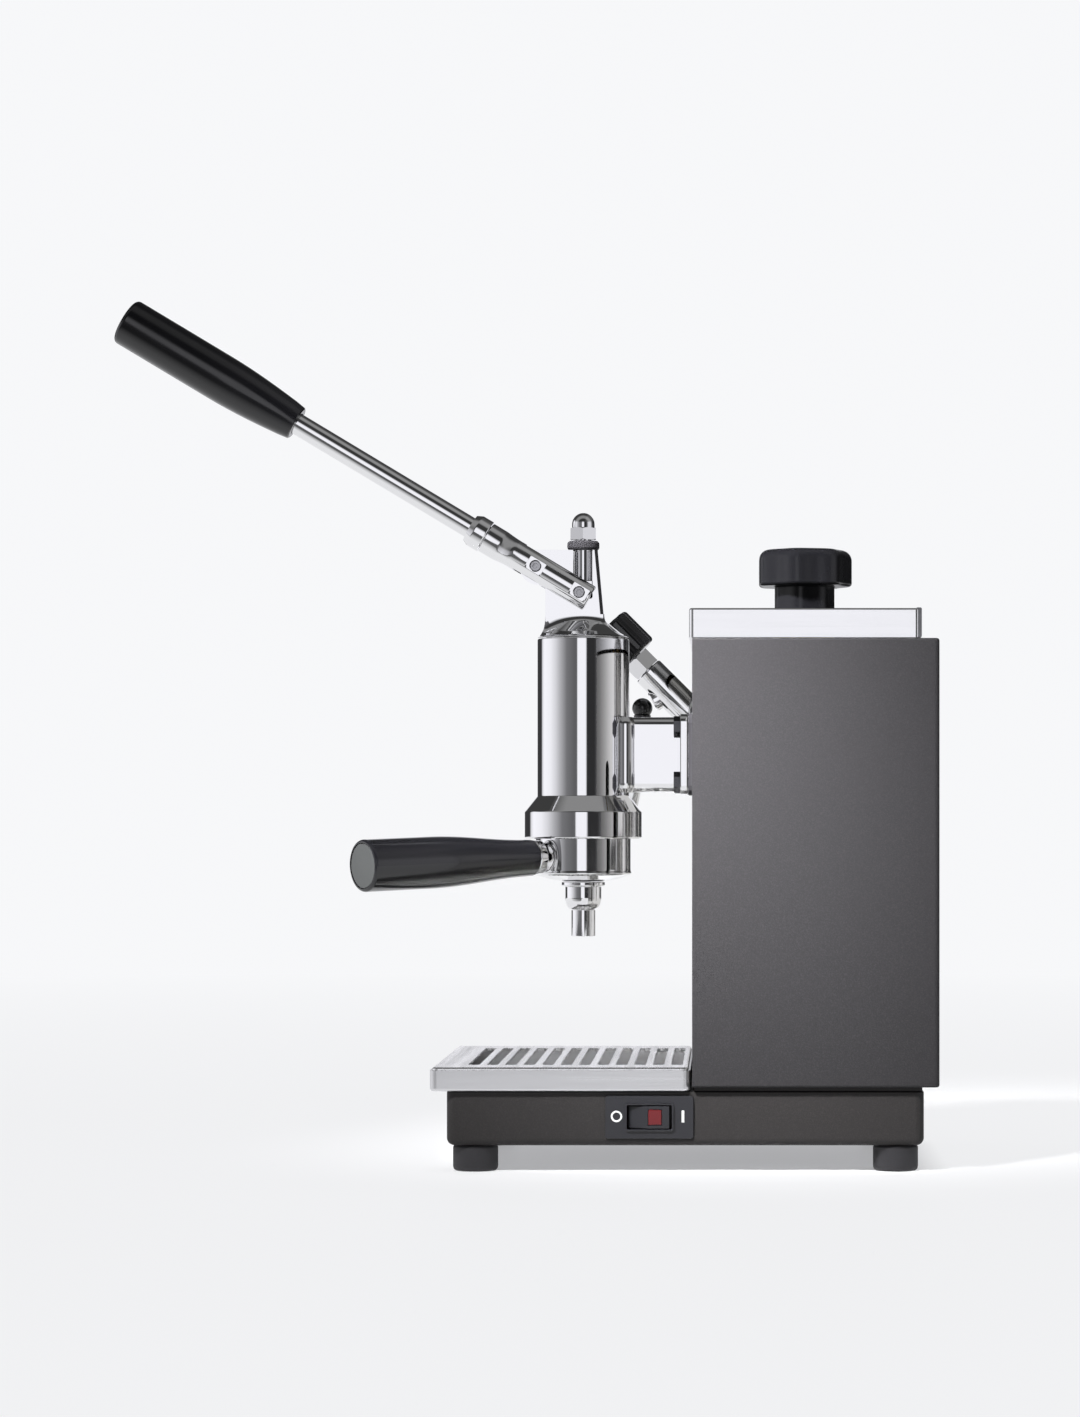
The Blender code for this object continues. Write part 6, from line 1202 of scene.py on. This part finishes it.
def ripple(piece, count, depth):
    """Draw the skin in between lobes; depth is a function of the radius and the height."""
    for vertex in piece.data.vertices:
        x, y, z = vertex.co
        radius = sqrt(x * x + y * y)
        if radius > MM:
            fall = (1.0 - cos(count * atan2(y, x))) / 2.0
            share = 1.0 - depth(radius / MM, z / MM) * MM * fall / radius
            vertex.co.x, vertex.co.y = x * share, y * share
    return piece


# %% Cap head, neck and plug
CAP_LOW, CAP_SHOULDER, CAP_TOP, CAP_RADIUS, CAP_ROUND = 298.6, 315.8, 336.1, 26.6, 6.0
NECK_RADIUS, PLUG_RADIUS, PLUG_DEEP = 17.0, 12.6, 16.0
LOBES, LOBE_SIDES, FLUTE_DEEP, LOBE_DEEP = 7, 24, 0.9, 2.6


def cap_hollow(radius, height):
    """How deep the skin is drawn in: a little on the neck, and less towards the head's top."""
    if height < CAP_SHOULDER - 0.1 or radius < NECK_RADIUS + 1.0:
        return FLUTE_DEEP
    return LOBE_DEEP * (1.0 - max(height - (CAP_TOP - CAP_ROUND), 0.0) / (2 * CAP_ROUND))


profile = [(NECK_RADIUS, CAP_LOW), (NECK_RADIUS, CAP_SHOULDER - 0.6), (NECK_RADIUS + 0.6, CAP_SHOULDER),
           (CAP_RADIUS - 2.0, CAP_SHOULDER)]
profile += arc(CAP_RADIUS - 2.0, CAP_SHOULDER + 2.0, 2.0, -60.0, 0.0, 5)
profile += arc(CAP_RADIUS - CAP_ROUND, CAP_TOP - CAP_ROUND, CAP_ROUND, 0.0, 90.0, 10)
profile += [(18.6, CAP_TOP), (17.8, CAP_TOP - 0.6)]
cap = ripple(turned(profile, LOBES * LOBE_SIDES), LOBES, cap_hollow)
weld_on(cap, pin_along("Z", PLUG_RADIUS, CAP_LOW - PLUG_DEEP, CAP_LOW + 6.0))
dress(place(cap, y=CAP_Y, turn=(0.0, 0.0, pi / 2)), "boiler_cap", cap_black)

# %% [markdown]
# ## Drip tray and grate
# The tray is a shallow pan with a ledge round the inside of its rim, and the grate lies on that ledge by
# its turned-down edge. The twelve slots are punched in one row, so one rounded tool is copied along it.

# %% Drip tray
TRAY_HALF, TRAY_FRONT, TRAY_REAR, TRAY_LOW, TRAY_HIGH = 98.5, -77.5, 60.2, 43.0, 54.0
TRAY_SHEET, LEDGE_LOW, LEDGE_HIGH, LEDGE_WIDE = 1.0, 51.1, 52.1, 4.0

tray = slab((-TRAY_HALF, TRAY_FRONT, TRAY_LOW), (TRAY_HALF, TRAY_REAR, TRAY_HIGH), "Z", 4.0)
round_level(tray, TRAY_LOW, 1.6, 6)
thicken(open_side(tray, (0.0, 0.0, 1.0)), TRAY_SHEET)
ledge = slab((-TRAY_HALF + 0.9, TRAY_FRONT + 0.9, LEDGE_LOW), (TRAY_HALF - 0.9, TRAY_REAR - 0.9, LEDGE_HIGH),
             "Z", 3.1)
cut(ledge, slab((-TRAY_HALF + LEDGE_WIDE, TRAY_FRONT + LEDGE_WIDE, 50.0),
                (TRAY_HALF - LEDGE_WIDE, TRAY_REAR - LEDGE_WIDE, 53.0), "Z", 1.5, 4))
dress(place(weld_on(tray, ledge)), "drip_tray", tray_steel)

# %% Grate with its slots
GRATE_HALF, GRATE_INSET, GRATE_TOP, GRATE_DEEP, GRATE_ROUND = 97.2, 1.3, 55.6, 3.2, 3.0
SLOTS, SLOT_PITCH, SLOT_HALF, SLOT_LONG, FIRST_SLOT_Y = 12, 9.87, 3.1, 75.0, 52.8

grate = slab((-GRATE_HALF, TRAY_FRONT + GRATE_INSET, GRATE_TOP - GRATE_DEEP),
             (GRATE_HALF, TRAY_REAR - GRATE_INSET, GRATE_TOP), "Z", GRATE_ROUND)
round_level(grate, GRATE_TOP, 1.0, 5)
thicken(open_side(grate, (0.0, 0.0, -1.0)), SHEET)
slot = slab((-SLOT_LONG, -SLOT_HALF, GRATE_TOP - 5.0), (SLOT_LONG, SLOT_HALF, GRATE_TOP + 3.0), "Z", 3.0, 8)
row = [moved(copy_of(slot), y=FIRST_SLOT_Y - SLOT_PITCH * number) for number in range(SLOTS)]
bpy.data.objects.remove(slot)
cut(grate, gather(row))
dress(place(break_edges(grate, 0.25)), "drip_grate", grate_steel)

# %% [markdown]
# ## The steam valve and its wand
# The valve slants up from the housing at 45 degrees: a round barrel with a rose against the panel, a
# gland nut, the spindle and a ribbed knob. A black ball under its outlet lets the wand swing.

# %% Valve body
VALVE_AT = {"x": VALVE_X, "y": HOUSE_FRONT, "z": VALVE_Z, "turn": (pi / 4, 0.0, 0.0)}
SPINDLE_RADIUS, SPINDLE_ROOM = 4.0, 4.3
BARREL_RADIUS, BARREL_END, ROSE_RADIUS, INLET_RADIUS = 9.0, 37.5, 12.5, 6.5
OUTLET_RADIUS, OUTLET_LONG, OUTLET_RISE, OUTLET_TURN = 6.0, 11.2, 14.142, radians(120.0)
ROSE_Y = HOUSE_FRONT - 0.3

barrel = turned(eased([(BARREL_RADIUS, -BARREL_RADIUS), (BARREL_RADIUS, BARREL_END - 0.7),
                       (BARREL_RADIUS - 0.7, BARREL_END)], 0.3, 2))
cut(barrel, pin_along("Z", SPINDLE_ROOM, 27.5, 40.0, SMALL))
moved(barrel, **VALVE_AT)
slice_off(barrel, (0.0, ROSE_Y, 0.0), (0.0, 1.0, 0.0))
rose = turned(eased([(ROSE_RADIUS - 1.9, -3.0), (ROSE_RADIUS - 0.5, -2.5), (ROSE_RADIUS, -1.4),
                     (ROSE_RADIUS, 0.0)], 0.5))
moved(rose, VALVE_X, ROSE_Y, VALVE_Z, (-pi / 2, 0.0, 0.0))
inlet = pin_along("Y", INLET_RADIUS, HOUSE_FRONT - 1.8, HOUSE_FRONT + 9.0, SMALL)
moved(inlet, VALVE_X, 0.0, VALVE_Z)
outlet = turned(eased([(OUTLET_RADIUS, 0.0), (OUTLET_RADIUS, OUTLET_LONG - 0.6),
                       (OUTLET_RADIUS - 0.6, OUTLET_LONG)], 0.3, 2), MEDIUM)
moved(outlet, VALVE_X, HOUSE_FRONT - OUTLET_RISE, VALVE_Z + OUTLET_RISE, (OUTLET_TURN, 0.0, 0.0))
dress(place(weld_on(barrel, rose, inlet, outlet)), "steam_valve_body", chrome)

# %% Gland nut and spindle
gland = hexagon(9.24, 37.8, 47.3, [(8.3, 37.3), (9.5, 38.7), (9.5, 46.3), (8.2, 47.8)], EDGE_TO_CAMERA)
cut(gland, pin_along("Z", SPINDLE_ROOM, 30.0, 50.0, SMALL))
dress(place(break_edges(gland, 0.2), **VALVE_AT), "gland_nut", chrome)

spindle = turned(eased([(SPINDLE_RADIUS - 0.3, 27.8), (SPINDLE_RADIUS, 28.1), (SPINDLE_RADIUS, 57.3)], 0.1),
                 SMALL)
dress(place(spindle, **VALVE_AT), "valve_spindle", plain_steel)

# %% Ribbed knob
KNOB_RADIUS, KNOB_FACE, KNOB_LOW, KNOB_HIGH, LOW_ROUND, TOP_ROUND = 15.0, 9.4, 47.8, 71.4, 2.2, 2.4
KNOB_RIBS, RIB_SIDES, RIB_DEEP, RIB_FROM = 12, 16, 1.0, 12.0

profile = [(KNOB_FACE, KNOB_LOW)]
profile += arc(KNOB_RADIUS - LOW_ROUND, KNOB_LOW + LOW_ROUND, LOW_ROUND, -90.0, 0.0, 7)
profile += arc(KNOB_RADIUS - TOP_ROUND, KNOB_HIGH - TOP_ROUND, TOP_ROUND, 0.0, 90.0, 7)
profile += [(KNOB_FACE, KNOB_HIGH), (KNOB_FACE - 0.6, KNOB_HIGH - 0.5)]
knob = turned(profile, KNOB_RIBS * RIB_SIDES)
ripple(knob, KNOB_RIBS, lambda radius, height: RIB_DEEP if radius > RIB_FROM else 0.0)
cut(knob, pin_along("Z", SPINDLE_ROOM, 40.0, 57.6, SMALL))
dress(place(knob, **VALVE_AT), "steam_knob", phenolic)

# %% Ball
BALL_AT = {"x": VALVE_X, "y": 31.47, "z": 250.44}
BALL_RADIUS, COLLAR_RADIUS = 5.8, 4.8

bpy.ops.mesh.primitive_uv_sphere_add(segments=64, ring_count=32, radius=BALL_RADIUS * MM)
ball = settle(bpy.context.object)
weld_on(ball, turned(eased([(COLLAR_RADIUS, -9.5), (COLLAR_RADIUS, -4.0)], 0.2), MEDIUM))
dress(place(ball, **BALL_AT), "wand_grip", phenolic)

# %% [markdown]
# The wand is one tube that is bent over a round former. A disc is extruded down, spun about the bend's
# centre, which lies to the side the wand goes, and extruded on to the nozzle. Its way out is a little
# shorter than the solid's, so that the cup hides the nozzle as in the photograph.

# %% Wand
WAND_RADIUS, BEND_RADIUS, WAND_TOP, STRAIGHT, CORNER_DROP = 3.6, 52.2, -9.8, 3.0, 16.0
SHORTER = 0.89
OUT = Vector((-34.0, -15.0, -70.0)) * SHORTER
DOWN = Vector((0.0, 0.0, -1.0))
SIDEWAYS = Vector((OUT.x, OUT.y, 0.0)).normalized()
BEND = OUT.angle(DOWN)
RUN_ON = OUT.length - BEND_RADIUS * sin(BEND / 2) / cos(BEND / 2)

wand = start_disc(WAND_RADIUS, WAND_TOP, MEDIUM)
extrude(z=-STRAIGHT)
centre = SIDEWAYS * BEND_RADIUS + Vector((0.0, 0.0, WAND_TOP - STRAIGHT))
bpy.ops.mesh.spin(steps=24, angle=BEND, center=mm(*centre), axis=SIDEWAYS.cross(DOWN))
extrude(*(OUT.normalized() * RUN_ON))
done()
nozzle = turned(eased([(3.9, -3.0), (4.86, -2.3), (4.86, 2.6), (2.5, 6.0)], 0.4), MEDIUM)
cut(nozzle, pin_along("Z", 0.8, 4.0, 8.0, 16))
tip = Vector((0.0, 0.0, WAND_TOP - CORNER_DROP)) + OUT
moved(nozzle, *tip, turn=OUT.to_track_quat("Z", "Y").to_euler())
dress(place(weld_on(mend(wand), nozzle), **BALL_AT), "steam_wand", chrome)

# %% [markdown]
# ## Switch and mains inlet
# A dark plate on the base's right-hand side frames a rocker with a red lamp window, pressed at its front
# end. The circle and the bar for off and on are printed beside it; here they are thin and raised.

# %% Switch frame
PLATE_LOW, PLATE_HIGH, PLATE_HALF = 95.3, 96.3, (23.3, 11.3)
BEZEL_LOW, BEZEL_HIGH, BEZEL_HALF, BEZEL_FLOOR, BEZEL_HOLE = 77.3, 97.6, (12.9, 7.4), 78.8, (11.9, 6.4)

switch_plate = slab(*corners("X", PLATE_LOW, PLATE_HIGH, SWITCH, PLATE_HALF), "X", 1.5, 6)
weld_on(switch_plate, slab(*corners("X", BEZEL_LOW, BEZEL_HIGH, SWITCH, BEZEL_HALF), "X", 1.6, 6))
cut(switch_plate, slab(*corners("X", BEZEL_FLOOR, 102.0, SWITCH, BEZEL_HOLE), "X", 0.8, 4))
dress(place(break_edges(switch_plate, 0.3, 3)), "switch_frame", moulded)

# %% Marks for off and on
MARK_LOW, MARK_HIGH, MARK_Z = 96.28, 96.38, 29.7
OFF_Y, OFF_RADIUS, OFF_BORE = 21.2, 3.0, 2.05
ON_Y, ON_HALF = 56.35, (0.7, 3.1)

off_mark = turned([(OFF_RADIUS, MARK_LOW), (OFF_RADIUS, MARK_HIGH)], MEDIUM)
cut(off_mark, pin_along("Z", OFF_BORE, 95.0, 97.0, MEDIUM))
moved(off_mark, y=OFF_Y, z=MARK_Z, turn=(0.0, pi / 2, 0.0))
add_on(place(off_mark), "mark_off", BODY_OF["switch_frame"], print_white)
on_mark = block(*corners("X", MARK_LOW, MARK_HIGH, (ON_Y, MARK_Z), ON_HALF))
add_on(place(on_mark), "mark_on", BODY_OF["switch_frame"], print_white)

# %% Rocker and lamp
ROCKER_AT = {"x": 93.8, "y": SWITCH_Y, "z": SWITCH_Z, "turn": (0.0, 0.0, radians(-8.0))}
ROCKER_HALF, ROCKER_SLOPE = (4.2, 11.5, 6.0), radians(10.2)
LAMP_AT = {"x": 3.588, "y": 3.45, "turn": (0.0, 0.0, ROCKER_SLOPE)}
LAMP_HALF, LAMP_ROOM = (3.5, 4.0), (3.8, 4.3)

rocker = block([-half for half in ROCKER_HALF], ROCKER_HALF)
for side in (-1.0, 1.0):
    slice_off(rocker, (ROCKER_HALF[0], 0.0, 0.0), (cos(ROCKER_SLOPE), side * sin(ROCKER_SLOPE), 0.0))
    slice_off(rocker, (2.2, side * 11.1, 0.0), (-0.36, side * 0.933, 0.0))
break_edges(rocker, 0.5, 3, 8)
cut(rocker, moved(block(*corners("X", -1.9, 3.0, (0.0, 0.0), LAMP_ROOM)), **LAMP_AT))
dress(place(rocker, **ROCKER_AT), "switch_rocker", moulded)
lamp = break_edges(block(*corners("X", -1.6, 0.05, (0.0, 0.0), LAMP_HALF)), 0.35, 3)
dress(place(moved(lamp, **LAMP_AT), **ROCKER_AT), "switch_lamp", red_lens)

# %% Mains inlet and its blades
RIM_LOW, RIM_HIGH, RIM_HALF = 184.3, 185.8, (17.0, 10.95)
SHELL_LOW, SHELL_HIGH, SHELL_HALF = 165.5, 185.0, (14.0, 10.2)
WELL_FLOOR, WELL_HALF = 167.3, (12.2, 8.4)
BLADE_LOW, BLADE_HIGH, BLADE_HALF = 167.0, 180.3, (1.0, 2.0)
BLADES = ((-7.0, -2.6), (0.0, 1.3), (7.0, -2.6))

socket = slab(*corners("Y", RIM_LOW, RIM_HIGH, INLET, RIM_HALF), "Y", 1.8)
weld_on(socket, slab(*corners("Y", SHELL_LOW, SHELL_HIGH, INLET, SHELL_HALF), "Y", 2.0))
cut(socket, slab(*corners("Y", WELL_FLOOR, 190.0, INLET, WELL_HALF), "Y", 1.8))
dress(place(break_edges(socket, 0.3)), "mains_inlet", moulded)
blades = gather([block(*corners("Y", BLADE_LOW, BLADE_HIGH, (INLET_X + x, SWITCH_Z + z), BLADE_HALF))
                 for x, z in BLADES])
add_on(place(break_edges(blades, 0.4)), "inlet_blades", BODY_OF["mains_inlet"], plain_steel)

# %% Level glass, a bored tube behind the panel's slot
GLASS_RADIUS, GLASS_BORE = 4.5, 3.1

low, high = (Vector(corner).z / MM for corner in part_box("sight_glass"))
tube = turned([(GLASS_RADIUS, low), (GLASS_RADIUS, high)], MEDIUM)
cut(tube, pin_along("Z", GLASS_BORE, low - 2.0, high + 2.0, MEDIUM))
dress(place(tube, GLASS_X, GLASS_Y), "sight_glass", glass)
